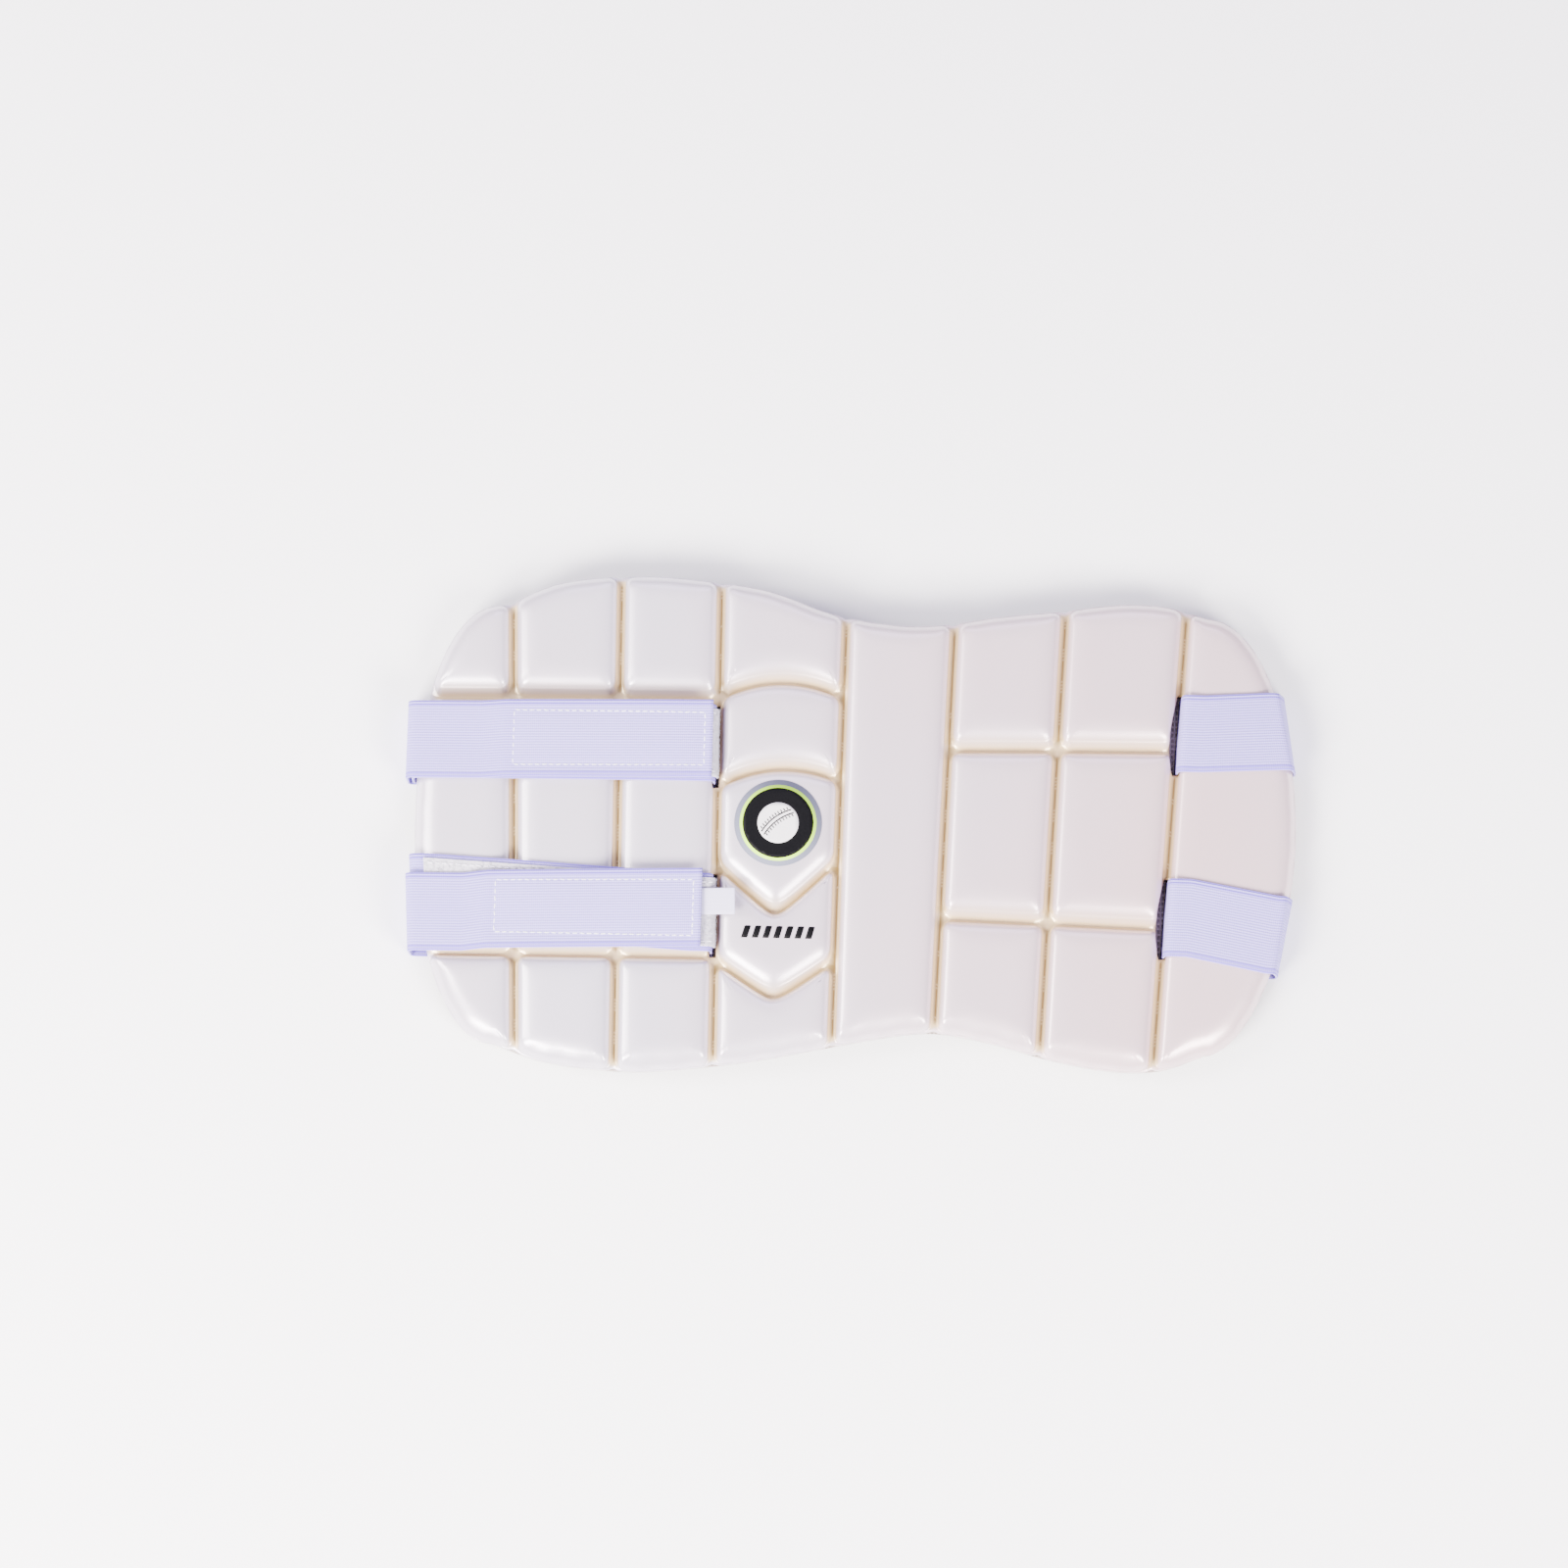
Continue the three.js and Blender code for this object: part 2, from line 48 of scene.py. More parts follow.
# The pad's layout in millimetres, front face up, collar edge towards +Y
padShape = {
    "halfLength": 241.5, "bowRise": 12.0, "seat": 3.6, "gap": 0.3,
    "lining": 2.0, "foam": 14.7, "floor": 6.0,
    "cadLip": 0.8,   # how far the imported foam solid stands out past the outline
    "groove": 4.8, "row": 5.4, "step": 1.8,   # groove widths and the spacing of points on a block's foot
    "cornerReach": 5.0, "cornerSteps": 9, "sharpTurn": 28.0, "chevronRound": 0.16, "rowSteps": 42,
    "endTurns": (1, 87, 60),   # first and last angle and count of points on the rounded ends
    # x, collar edge, waist edge
    "stations": [
        (-196, 117.0, -125.3), (-165, 129.8, -135.2), (-120, 134.0, -139.4), (-85, 131.9, -136.7),
        (-50, 126.6, -131.8), (-15, 114.6, -124.5), (20, 109.3, -117.5), (45, 110.0, -114.8),
        (75, 115.2, -119.3), (110, 119.8, -128.0), (145, 124.8, -133.0), (170, 124.2, -131.2),
        (193, 118.4, -122.5),
    ],
    # roundness of the ends at the collar and waist edges
    "leftPowers": (2.3, 2.0), "rightPowers": (2.0, 1.75),
    # long grooves: place at mid height, lean
    "longGrooves": [
        (-187.9, -0.0364), (-130.8, -0.0135), (-76.3, -0.0072), (-9.5, 0.0129),
        (48.1, 0.0325), (107.4, 0.0455), (172.0, 0.0644),
    ],
    # cross grooves of each kind of column: form, left, peak, right
    "side": [("line", 67.0, 67.0, 67.0), ("line", -75.6, -75.6, -75.6)],
    "badge": [
        ("arc", 67.9, 77.3, 69.9), ("arc", 18.5, 29.0, 22.9),
        ("chevron", -24.7, -50.0, -21.7), ("chevron", -77.2, -96.4, -75.7),
    ],
    "rib": [("line", 41.6, 42.5, 43.3), ("line", -51.5, -52.0, -52.5)],
    "flank": [("line", 43.3, 44.2, 45.0), ("line", -52.5, -53.0, -53.5)],
    "columns": ["side", "side", "side", "badge", "", "rib", "flank", ""],
    # slots: groove, lowest and highest y, then from the groove's middle
    # the left edge, its bulge and the right edge
    "slots": {
        "upperLeft": (2, 16.6, 62.2, -2.65, 0.0, 0.9), "lowerLeft": (2, -77.0, -31.4, -2.65, 0.0, 0.9),
        "upperRight": (6, 30.6, 74.8, -1.0, 2.6, 2.65), "lowerRight": (6, -71.6, -27.4, -1.0, 2.6, 2.65),
    },
    "slotWidth": 5.4, "slotSteps": 15, "bulgePower": 0.85,   # the bulge lies a little below the slot's middle
}
liningZ0 = padShape["seat"]
undersideZ = liningZ0 + padShape["lining"] + padShape["gap"]
floorZ = undersideZ + padShape["floor"]
topZ = undersideZ + padShape["foam"]


def bow(x):
    return padShape["bowRise"] * (1 - (np.asarray(x) / padShape["halfLength"]) ** 2)


def grooveX(groove, y):
    midX, lean = padShape["longGrooves"][groove]
    return midX + lean * y


# A smooth edge through the stations with rounded ends; side 0 is the collar edge, side 1 the waist edge
def edgeHeight(x, side):
    rows = np.array(padShape["stations"])
    xs, ys = rows[:, 0], rows[:, 1 + side]
    slopes = np.empty_like(xs)
    slopes[1:-1] = (ys[2:] - ys[:-2]) / (xs[2:] - xs[:-2])
    slopes[0] = (ys[1] - ys[0]) / (xs[1] - xs[0])
    slopes[-1] = (ys[-1] - ys[-2]) / (xs[-1] - xs[-2])
    x = np.asarray(x, float)
    i = np.clip(np.searchsorted(xs, x) - 1, 0, len(xs) - 2)
    span = xs[i + 1] - xs[i]
    t = np.clip((x - xs[i]) / span, 0, 1)
    a, b, rise = slopes[i] * span, slopes[i + 1] * span, ys[i + 1] - ys[i]
    y = ys[i] + t * (a + t * (3 * rise - 2 * a - b + t * (a + b - 2 * rise)))
    half = padShape["halfLength"]
    for k, sign, powers in ((0, -1, "leftPowers"), (-1, 1, "rightPowers")):
        power = padShape[powers][side]
        reach = np.clip((x - xs[k]) / (sign * half - xs[k]), 0, 1)
        beyond = (x - xs[k]) * sign > 0
        y = np.where(beyond, ys[k] * (1 - reach ** power) ** (1 / power), y)
    return y


# Closed outline of the pad, waist edge left to right and back along the collar edge
def padOutline():
    half = padShape["halfLength"]
    leftX, rightX = padShape["stations"][0][0], padShape["stations"][-1][0]
    turn = np.radians(np.linspace(*padShape["endTurns"]))
    xs = np.concatenate([
        leftX - (half + leftX) * np.sin(turn[::-1]),
        np.arange(leftX, rightX + 0.5, 1.0),
        rightX + (half - rightX) * np.sin(turn),
    ])
    waist, collar = (np.stack([xs, edgeHeight(xs, side)], 1) for side in (1, 0))
    return np.concatenate([waist, collar[::-1]])


# Length along a path at each of its points
def lengths(points):
    return np.concatenate([[0], np.cumsum(np.linalg.norm(np.diff(points, axis=0), axis=1))])


# A closed loop with points evenly spaced
def resampled(points, step):
    ring = np.concatenate([points, points[:1]])
    along = lengths(ring)
    count = max(8, int(round(along[-1] / step)))
    at = np.linspace(0, along[-1], count, endpoint=False)
    return np.stack([np.interp(at, along, ring[:, k]) for k in range(ring.shape[1])], 1)


# Moves a closed loop inwards, square to its edges
def insetLoop(loop, inset):
    before = loop - np.roll(loop, 1, 0)
    after = np.roll(loop, -1, 0) - loop
    before = before / np.linalg.norm(before, axis=1)[:, None]
    after = after / np.linalg.norm(after, axis=1)[:, None]
    inward = np.stack([-before[:, 1] - after[:, 1], before[:, 0] + after[:, 0]], 1)
    return loop + inward * (inset / (1 + (before * after).sum(1)))[:, None]


# Keeps the part of a loop where inside is positive, and follows a curved cut with the points of alongCut
def clippedLoop(points, inside, alongCut=None):
    values = inside(points)
    start = int(np.argmax(values > 0))
    points, values = np.roll(points, -start, 0), np.roll(values, -start)
    kept, leaving = [], None
    for i in range(len(points)):
        j = (i + 1) % len(points)
        if values[i] > 0:
            kept.append(points[i])
        if (values[i] > 0) == (values[j] > 0):
            continue
        crossing = points[i] + (points[j] - points[i]) * (values[i] / (values[i] - values[j]))
        if values[j] > 0 and alongCut:
            kept.extend(alongCut(leaving, crossing))
        kept.append(crossing)
        leaving = crossing
    return np.array(kept)


# Points of a curve that turns round a corner between the ends of its two legs
def turnPoints(start, tip, end, count):
    t = np.linspace(0, 1, count)[:, None]
    return (1 - t) ** 2 * start + 2 * t * (1 - t) * tip + t ** 2 * end


def roundedCorners(points, reach):
    n = len(points)
    before = points - np.roll(points, 1, 0)
    after = np.roll(points, -1, 0) - points
    cross = before[:, 0] * after[:, 1] - before[:, 1] * after[:, 0]
    turned = np.abs(np.arctan2(cross, (before * after).sum(1)))
    sharp = turned > math.radians(padShape["sharpTurn"])
    corners = points[sharp]
    rounded = []
    for i in range(n):
        if not sharp[i]:
            if np.linalg.norm(corners - points[i], axis=1).min() > reach:
                rounded.append(points[i])
            continue
        legs = []
        for step in (-1, 1):
            k = step
            while np.linalg.norm(points[(i + k) % n] - points[i]) < reach:
                k += step
            leg = points[(i + k) % n] - points[i]
            legs.append(points[i] + leg * (reach / np.linalg.norm(leg)))
        rounded.extend(turnPoints(legs[0], points[i], legs[1], padShape["cornerSteps"]))
    return np.array(rounded)


# Height of a cross groove at a share of its column's width
def rowHeight(row, share):
    form, left, peak, right = row
    between = left + (right - left) * share
    if form == "line":
        return between
    lift = peak - (left + right) / 2
    if form == "arc":
        return between + lift * 4 * share * (1 - share)
    soft = padShape["chevronRound"]
    far = math.hypot(1, soft)
    return between + lift * (far - np.hypot(2 * share - 1, soft)) / (far - soft)


# Foot loops of all blocks: the outline cut by the long grooves, then by the cross grooves of each column
def blockLoops():
    whole = padOutline()
    grooves = padShape["longGrooves"]
    halfGroove, halfRow = padShape["groove"] / 2, padShape["row"] / 2
    loops = []
    for c, kind in enumerate(padShape["columns"]):
        column = whole
        if c > 0:
            column = clippedLoop(column, lambda p: p[:, 0] - grooveX(c - 1, p[:, 1]) - halfGroove)
        if c < len(grooves):
            column = clippedLoop(column, lambda p: grooveX(c, p[:, 1]) - p[:, 0] - halfGroove)
        leftX = grooves[c - 1][0] if c > 0 else -padShape["halfLength"]
        rightX = grooves[c][0] if c < len(grooves) else padShape["halfLength"]
        rows = padShape[kind] if kind else []

        def rowAt(row, x):
            return rowHeight(row, (x - leftX) / (rightX - leftX))

        def follow(row, aside):
            def along(start, end):
                xs = np.linspace(start[0], end[0], padShape["rowSteps"])[1:-1]
                return list(np.stack([xs, rowAt(row, xs) + aside], 1)) if row[0] != "line" else []
            return along

        for r in range(len(rows) + 1):
            block = column
            for cut, side in ((r - 1, -1), (r, 1)):   # below the groove above, then above the groove below
                if 0 <= cut < len(rows):
                    row = rows[cut]
                    block = clippedLoop(
                        block, lambda p: side * (p[:, 1] - rowAt(row, p[:, 0])) - halfRow,
                        follow(row, side * halfRow))
            loops.append(resampled(roundedCorners(block, padShape["cornerReach"]), padShape["step"]))
    return loops


def insideLoop(points, loop):
    x, y = points[:, 0][:, None], points[:, 1][:, None]
    ax, ay = loop[:, 0][None], loop[:, 1][None]
    bx, by = np.roll(loop, -1, 0)[:, 0][None], np.roll(loop, -1, 0)[:, 1][None]
    crosses = (ay > y) != (by > y)
    with np.errstate(divide="ignore", invalid="ignore"):
        hit = x < (bx - ax) * (y - ay) / (by - ay) + ax
    return (crosses & hit).sum(1) % 2 == 1


# How far a slot reaches left and right of its groove's middle at heights y
def slotEdges(name, y):
    _, low, high, left, bulge, right = padShape["slots"][name]
    share = np.clip((np.asarray(y, float) - low) / (high - low), 0, 1)
    return left - bulge * np.sin(math.pi * share ** padShape["bulgePower"]), right


# Outline of a slot: straight beside the strap, bulging away from it on the other side
def slotLoop(name):
    groove, low, high = padShape["slots"][name][:3]
    ys = np.linspace(high, low, padShape["slotSteps"])
    left, right = slotEdges(name, ys)
    leftSide = np.stack([grooveX(groove, ys) + left, ys], 1)
    rightSide = np.array([(grooveX(groove, y) + right, y) for y in (low, high)])
    return np.concatenate([leftSide, rightSide])


# Where the pad's own origin lies in the shared frame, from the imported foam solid
foamLow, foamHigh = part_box("foam_body")
shift = np.array([
    (foamLow[0] + foamHigh[0]) / 2 / mm,
    foamHigh[1] / mm - padOutline()[:, 1].max() - padShape["cadLip"],
    0.0,
])
print("pad frame at", np.round(shift, 2), "mm")


# Turns millimetre points on the pad into a mesh object
def meshObject(name, points, faces, material):
    mesh = bpy.data.meshes.new(name)
    mesh.from_pydata(((np.asarray(points) + shift) * mm).tolist(), [], faces)
    mesh.polygons.foreach_set("use_smooth", [True] * len(mesh.polygons))
    mesh.update()
    mesh.materials.append(material)
    piece = bpy.data.objects.new(name, mesh)
    bpy.context.scene.collection.objects.link(piece)
    return piece


# Quads between two rings of n points, by the index of each ring's first point
def bridged(first, second, n, flip=False):
    pairs = [(i, (i + 1) % n) for i in range(n)]
    if flip:
        return [(first + i, second + i, second + j, first + j) for i, j in pairs]
    return [(first + i, first + j, second + j, second + i) for i, j in pairs]


def addAttribute(piece, name, values):
    values = np.asarray(values, np.float32)
    piece.data.attributes.new(name, "FLOAT", "POINT").data.foreach_set("value", values)


def carry(piece, slot, *nodes):
    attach(piece, "root")
    if nodes:
        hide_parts(*nodes)


def linear(hexColour):
    parts = [int(hexColour[k:k + 2], 16) / 255 for k in (1, 3, 5)]
    return (*[p / 12.92 if p <= 0.04045 else ((p + 0.055) / 1.055) ** 2.4 for p in parts], 1.0)


# Sets a node's inputs, each to a value or to a link from a socket
def setInputs(tree, node, inputs):
    for key, value in inputs.items():
        if isinstance(value, bpy.types.NodeSocket):
            tree.links.new(value, node.inputs[key])
        else:
            node.inputs[key].default_value = value


# Adds a node with its settings and links, and gives the output that is asked for. Where sockets share a name
# they go by number: the Mix node's factor 0, colours 6 and 7 and result 2, and Map Range's ends 1 to 4
def addNode(tree, kind, output, inputs, **settings):
    node = tree.nodes.new(kind)
    for key, value in settings.items():
        setattr(node, key, value)
    setInputs(tree, node, inputs)
    return node.outputs[output]


# A new material's nodes, its shader and the place of its pattern: on the object, or along a band in millimetres
def newMaterial(name, onUv=False):
    material = bpy.data.materials.new(name)
    material.use_nodes = True
    tree = material.node_tree
    if onUv:
        place = addNode(tree, "ShaderNodeUVMap", "UV", {}, uv_map="bandMm")
    else:
        place = addNode(tree, "ShaderNodeTexCoord", "Object", {})
    return material, tree, tree.nodes["Principled BSDF"], place


# Shades a surface from one colour to another by a pattern, and presses the pattern in or out
def patterned(tree, shader, look, pattern, low, high, sunk=False):
    colour = addNode(tree, "ShaderNodeMix", 2, {0: pattern, 6: low, 7: high}, data_type="RGBA")
    relief = addNode(tree, "ShaderNodeBump", "Normal", {
        "Height": pattern, "Distance": look["depthMm"] * mm}, invert=sunk)
    setInputs(tree, shader, {
        "Base Color": colour, "Normal": relief, "Roughness": look["rough"], **look["shine"]})


# Milky white skin with a broad pearly shine and a fine pebble; cream painted bounce light on the walls, tan
# painted shade on the groove floors
pearlSkin = {
    # the walls' cream is painted bounce light and the grooves' tan is painted shade
    "face": "#c6c2d0", "pinkReflection": "#d0b6b9", "wallBounce": "#d9bf93", "groove": "#82682c",
    "rough": 0.34, "pearl": 0.25, "coat": 0.8, "coatRough": 0.2, "pebbleMm": 0.9, "pebbleDepthMm": 0.03,
    # the painted pink reflection grows to the right, in metres, and is broken up by slow clouds
    "pinkReflectionX": (-0.11, 0.2), "pinkReflectionShare": (0.1, 0.8), "cloudMm": 110.0, "cloudShare": 0.5, "cloudLess": 0.15,
    "wallBounceRange": (0.0, 0.3), "floorShadeRange": (0.35, 1.0),   # ranges of the groove attribute
}


def pearlFoam():
    look = pearlSkin
    material, tree, shader, place = newMaterial("pearl PU skin on moulded EVA foam")
    # the groove attribute carries painted shade on the floors and painted bounce light on the walls
    groove = addNode(tree, "ShaderNodeAttribute", "Fac", {}, attribute_name="groove")
    # painted pink reflection: more of it to the right, broken up by slow clouds
    cloud = addNode(tree, "ShaderNodeTexNoise", "Fac", {
        "Vector": place, "Scale": 1 / (look["cloudMm"] * mm), "Detail": 1.0})
    x = addNode(tree, "ShaderNodeSeparateXYZ", "X", {"Vector": place})
    ranges = dict(zip((1, 2, 3, 4), look["pinkReflectionX"] + look["pinkReflectionShare"]))
    right = addNode(tree, "ShaderNodeMapRange", 0, {"Value": x, **ranges})
    pinkReflection = addNode(tree, "ShaderNodeMath", 0, {
        0: cloud, 1: look["cloudShare"], 2: right}, operation="MULTIPLY_ADD")
    pinkReflection = addNode(tree, "ShaderNodeMath", 0, {
        0: pinkReflection, 1: look["cloudLess"]}, operation="SUBTRACT", use_clamp=True)
    # shares of the painted bounce light on the walls and of the painted shade on the floors
    wallBounce, floor = (
        addNode(tree, "ShaderNodeMapRange", 0, {"Value": groove, 1: low, 2: high})
        for low, high in (look["wallBounceRange"], look["floorShadeRange"]))
    colour = linear(look["face"])
    for share, over in ((pinkReflection, "pinkReflection"), (wallBounce, "wallBounce"), (floor, "groove")):
        colour = addNode(tree, "ShaderNodeMix", 2, {
            0: share, 6: colour, 7: linear(look[over])}, data_type="RGBA")
    pebble = addNode(tree, "ShaderNodeTexNoise", "Fac", {
        "Vector": place, "Scale": 1 / (look["pebbleMm"] * mm), "Detail": 2.0})
    relief = addNode(tree, "ShaderNodeBump", "Normal", {
        "Height": pebble, "Distance": look["pebbleDepthMm"] * mm})
    setInputs(tree, shader, {
        "Base Color": colour, "Roughness": look["rough"], "Normal": relief, "Metallic": look["pearl"],
        "Coat Weight": look["coat"], "Coat Roughness": look["coatRough"],
    })
    return material


# White elastic with lengthwise cords, its own lilac tint deepened by painted shade in the valleys between cords
# and wefts, and two lilac lines along each selvedge
elasticWeave = {
    "cord": "#aba0e0", "valleyShade": "#8d80d2", "line": "#7664c8", "rough": 0.78,
    "cordMm": 1.45, "weftMm": 1.1,   # real cords are 1.2 mm apart, drawn a little coarser to show
    "cordDepthMm": 0.22, "weftDepthMm": 0.1,
    "linesMm": (0.75, 2.5), "lineWidthMm": 0.6, "widthMm": 43.0,
    "weftShare": 0.15, "sewnWeft": 0.33, "sewnLight": 0.15,   # the weft shows more inside the sewn boxes
    "shine": {"Specular IOR Level": 0.25, "Sheen Weight": 0.12, "Sheen Roughness": 0.5},
}


def wovenElastic():
    look = elasticWeave
    material, tree, shader, uv = newMaterial("polyester elastic webbing, woven", onUv=True)
    sums = "ShaderNodeMath"
    along = addNode(tree, "ShaderNodeSeparateXYZ", "X", {"Vector": uv})
    across = along.node.outputs["Y"]
    waves = []
    for place, pitch in ((across, look["cordMm"]), (along, look["weftMm"])):
        turned = addNode(tree, sums, 0, {0: place, 1: 2 * math.pi / pitch}, operation="MULTIPLY")
        wave = addNode(tree, sums, 0, {0: turned}, operation="COSINE")
        waves.append(addNode(tree, sums, 0, {0: wave, 1: 0.5, 2: 0.5}, operation="MULTIPLY_ADD"))
    cords, wefts = waves
    aside = addNode(tree, sums, 0, {0: across}, operation="ABSOLUTE")
    fromEdge = addNode(tree, sums, 0, {0: look["widthMm"] / 2, 1: aside}, operation="SUBTRACT")
    lines = 0.0
    for place in look["linesMm"]:
        apart = addNode(tree, sums, 0, {0: fromEdge, 1: place}, operation="SUBTRACT")
        apart = addNode(tree, sums, 0, {0: apart}, operation="ABSOLUTE")
        near = addNode(tree, "ShaderNodeMapRange", 0, {
            "Value": apart, 1: look["lineWidthMm"] / 2, 2: look["lineWidthMm"], 3: 1.0, 4: 0.0})
        lines = addNode(tree, sums, 0, {0: lines, 1: near}, operation="MAXIMUM")
    sewn = addNode(tree, "ShaderNodeAttribute", "Fac", {}, attribute_name="sewn")
    share = addNode(tree, sums, 0, {
        0: sewn, 1: look["sewnWeft"], 2: look["weftShare"]}, operation="MULTIPLY_ADD")
    woven = addNode(tree, sums, 0, {0: wefts, 1: cords}, operation="SUBTRACT")
    woven = addNode(tree, sums, 0, {0: woven, 1: share, 2: cords}, operation="MULTIPLY_ADD")
    woven = addNode(tree, sums, 0, {
        0: sewn, 1: look["sewnLight"], 2: woven}, operation="MULTIPLY_ADD", use_clamp=True)
    # painted shade: the valley colour where cords and wefts dip, the cord colour on their tops
    colour = linear(look["valleyShade"])
    for part, over in ((woven, "cord"), (lines, "line")):
        colour = addNode(tree, "ShaderNodeMix", 2, {
            0: part, 6: colour, 7: linear(look[over])}, data_type="RGBA")
    height = addNode(tree, sums, 0, {0: wefts, 1: look["weftDepthMm"]}, operation="MULTIPLY")
    height = addNode(tree, sums, 0, {0: cords, 1: look["cordDepthMm"], 2: height}, operation="MULTIPLY_ADD")
    relief = addNode(tree, "ShaderNodeBump", "Normal", {"Height": height, "Distance": mm})
    setInputs(tree, shader, {
        "Base Color": colour, "Roughness": look["rough"], "Normal": relief, **look["shine"]})
    return material


# Napped loop tape: greyish white, matt, with a soft felted grain
loopPile = {
    "high": "#d9d6df", "low": "#b2aebb", "rough": 0.95, "tuftMm": 1.6, "depthMm": 0.5,
    "shine": {"Specular IOR Level": 0.1, "Sheen Weight": 0.4},
}


def brushedPile():
    look = loopPile
    material, tree, shader, place = newMaterial("nylon loop tape, brushed")
    tufts = addNode(tree, "ShaderNodeTexNoise", "Fac", {
        "Vector": place, "Scale": 1 / (look["tuftMm"] * mm), "Detail": 4.0, "Roughness": 0.7})
    patterned(tree, shader, look, tufts, linear(look["low"]), linear(look["high"]))
    return material


# Rows of tiny cut hooks on a woven ground: white, slightly glossy dots
hookTape = {"hook": "#f2f1f6", "ground": "#cfccd8", "rough": 0.5, "hookMm": 1.6, "depthMm": 0.5, "shine": {}}


def cutHooks():
    look = hookTape
    material, tree, shader, uv = newMaterial("nylon hook tape, woven and cut", onUv=True)
    dots = addNode(tree, "ShaderNodeTexVoronoi", "Distance", {
        "Vector": uv, "Scale": 1 / look["hookMm"], "Randomness": 0.25}, feature="SMOOTH_F1")
    patterned(tree, shader, look, dots, linear(look["hook"]), linear(look["ground"]), sunk=True)
    return material


# Warp knit: warm grey and matt, with a net of small darker cells
knitLook = {
    "yarn": "#b0a39e", "cell": "#7d706b", "rough": 0.9, "cellMm": 2.2, "cellStretch": 0.7,
    "yarnShare": (0.05, 0.3), "depthMm": 0.4, "shine": {"Specular IOR Level": 0.2, "Sheen Weight": 0.3},
}


def knitLining():
    look = knitLook
    material, tree, shader, place = newMaterial("polyester mesh lining, warp knitted")
    perMetre = 1 / (look["cellMm"] * mm)
    stretched = addNode(tree, "ShaderNodeMapping", "Vector", {
        "Vector": place, "Scale": [perMetre, look["cellStretch"] * perMetre, 0.0]})
    cells = addNode(tree, "ShaderNodeTexVoronoi", "Distance", {
        "Vector": stretched, "Scale": 1.0, "Randomness": 0.15}, feature="DISTANCE_TO_EDGE")
    low, high = look["yarnShare"]
    hollow = addNode(tree, "ShaderNodeMapRange", 0, {"Value": cells, 1: low, 2: high, 3: 0.0, 4: 1.0})
    patterned(tree, shader, look, hollow, linear(look["yarn"]), linear(look["cell"]), sunk=True)
    return material


# Smooth lilac-white satin ribbon with a faint thread along it
satinLook = {
    "thread": "#d3cfe8", "shade": "#c3bedd", "rough": 0.45, "threadMm": 0.7, "depthMm": 0.05, "shine": {},
}
waveTurn = 2 * math.pi / 20   # the Wave texture's scale for one band in a unit


def satinTab():
    look = satinLook
    material, tree, shader, uv = newMaterial("polyester satin ribbon, woven", onUv=True)
    threads = addNode(tree, "ShaderNodeTexWave", "Fac", {
        "Vector": uv, "Scale": waveTurn / look["threadMm"], "Distortion": 0.4}, bands_direction="Y")
    patterned(tree, shader, look, threads, linear(look["shade"]), linear(look["thread"]))
    return material


# Twisted sewing thread: bright white with a painted sheen across the ply, drawn coarser than the real 0.3 mm
threadLook = {"high": "#f7f6fb", "low": "#dcd8ea", "rough": 0.55, "plyMm": 0.8, "shine": 0.3}


def sewingThread():
    look = threadLook
    material, tree, shader, place = newMaterial("polyester thread, twisted")
    ply = addNode(tree, "ShaderNodeTexWave", "Fac", {
        "Vector": place, "Scale": waveTurn / (look["plyMm"] * mm)}, bands_direction="DIAGONAL")
    # painted sheen on the plies and painted shade between them, in the colour only
    colour = addNode(tree, "ShaderNodeMix", 2, {
        0: ply, 6: linear(look["low"]), 7: linear(look["high"])}, data_type="RGBA")
    setInputs(tree, shader, {
        "Base Color": colour, "Roughness": look["rough"], "Specular IOR Level": look["shine"]})
    return material


skin, elastic, pile = pearlFoam(), wovenElastic(), brushedPile()
hook, knit, satin, thread = cutHooks(), knitLining(), satinTab(), sewingThread()
print("materials made")


# Triangles inside the outer loop and outside the holes, as indices into all given points
def filledBetween(outer, holes, loose=(), cuts=()):
    points, edges = [], []
    for loop in [outer, *holes]:
        first, count = len(points), len(loop)
        points.extend(loop.tolist())
        edges.extend((first + i, first + (i + 1) % count) for i in range(count))
    for a, b in cuts:
        edges.append((len(points), len(points) + 1))
        points.extend([list(a), list(b)])
    points.extend([list(p) for p in loose])
    made = delaunay_2d_cdt([Vector(p) for p in points], edges, [], 1, 1e-5)
    coords = np.array([tuple(v) for v in made[0]])
    ids = [origin[0] if origin else None for origin in made[3]]
    for k, one in enumerate(ids):
        if one is None:
            ids[k] = len(points)
            points.append(coords[k].tolist())
    points = np.array(points)
    faces = np.array([[ids[v] for v in face] for face in made[2]])
    middle = points[faces].mean(1)
    keep = np.ones(len(faces), bool)
    for hole in holes:
        near = np.all((middle > hole.min(0)) & (middle < hole.max(0)), axis=1) & keep
        found = np.nonzero(near)[0]
        if len(found):
            keep[found[insideLoop(middle[found], hole)]] = False
    faces = faces[keep]
    a, b, c = (points[faces[:, k]] for k in range(3))
    turned = (b[:, 0] - a[:, 0]) * (c[:, 1] - a[:, 1]) - (b[:, 1] - a[:, 1]) * (c[:, 0] - a[:, 0]) < 0
    faces[turned] = faces[turned][:, ::-1]
    return points, faces


# Loose points inside a loop, at least a margin away from it and from the boxes round the holes
def gridInside(outer, step, margin, holes=()):
    low, high = outer.min(0), outer.max(0)
    xs, ys = np.meshgrid(np.arange(low[0], high[0], step), np.arange(low[1], high[1], step))
    grid = np.stack([xs.ravel(), ys.ravel()], 1)
    grid = grid[insideLoop(grid, insetLoop(resampled(outer, step / 2), margin))]
    for hole in holes:
        middle = hole.mean(0)
        grid = grid[~np.all(np.abs(grid - middle) < np.abs(hole - middle).max(0) + margin, axis=1)]
    return grid


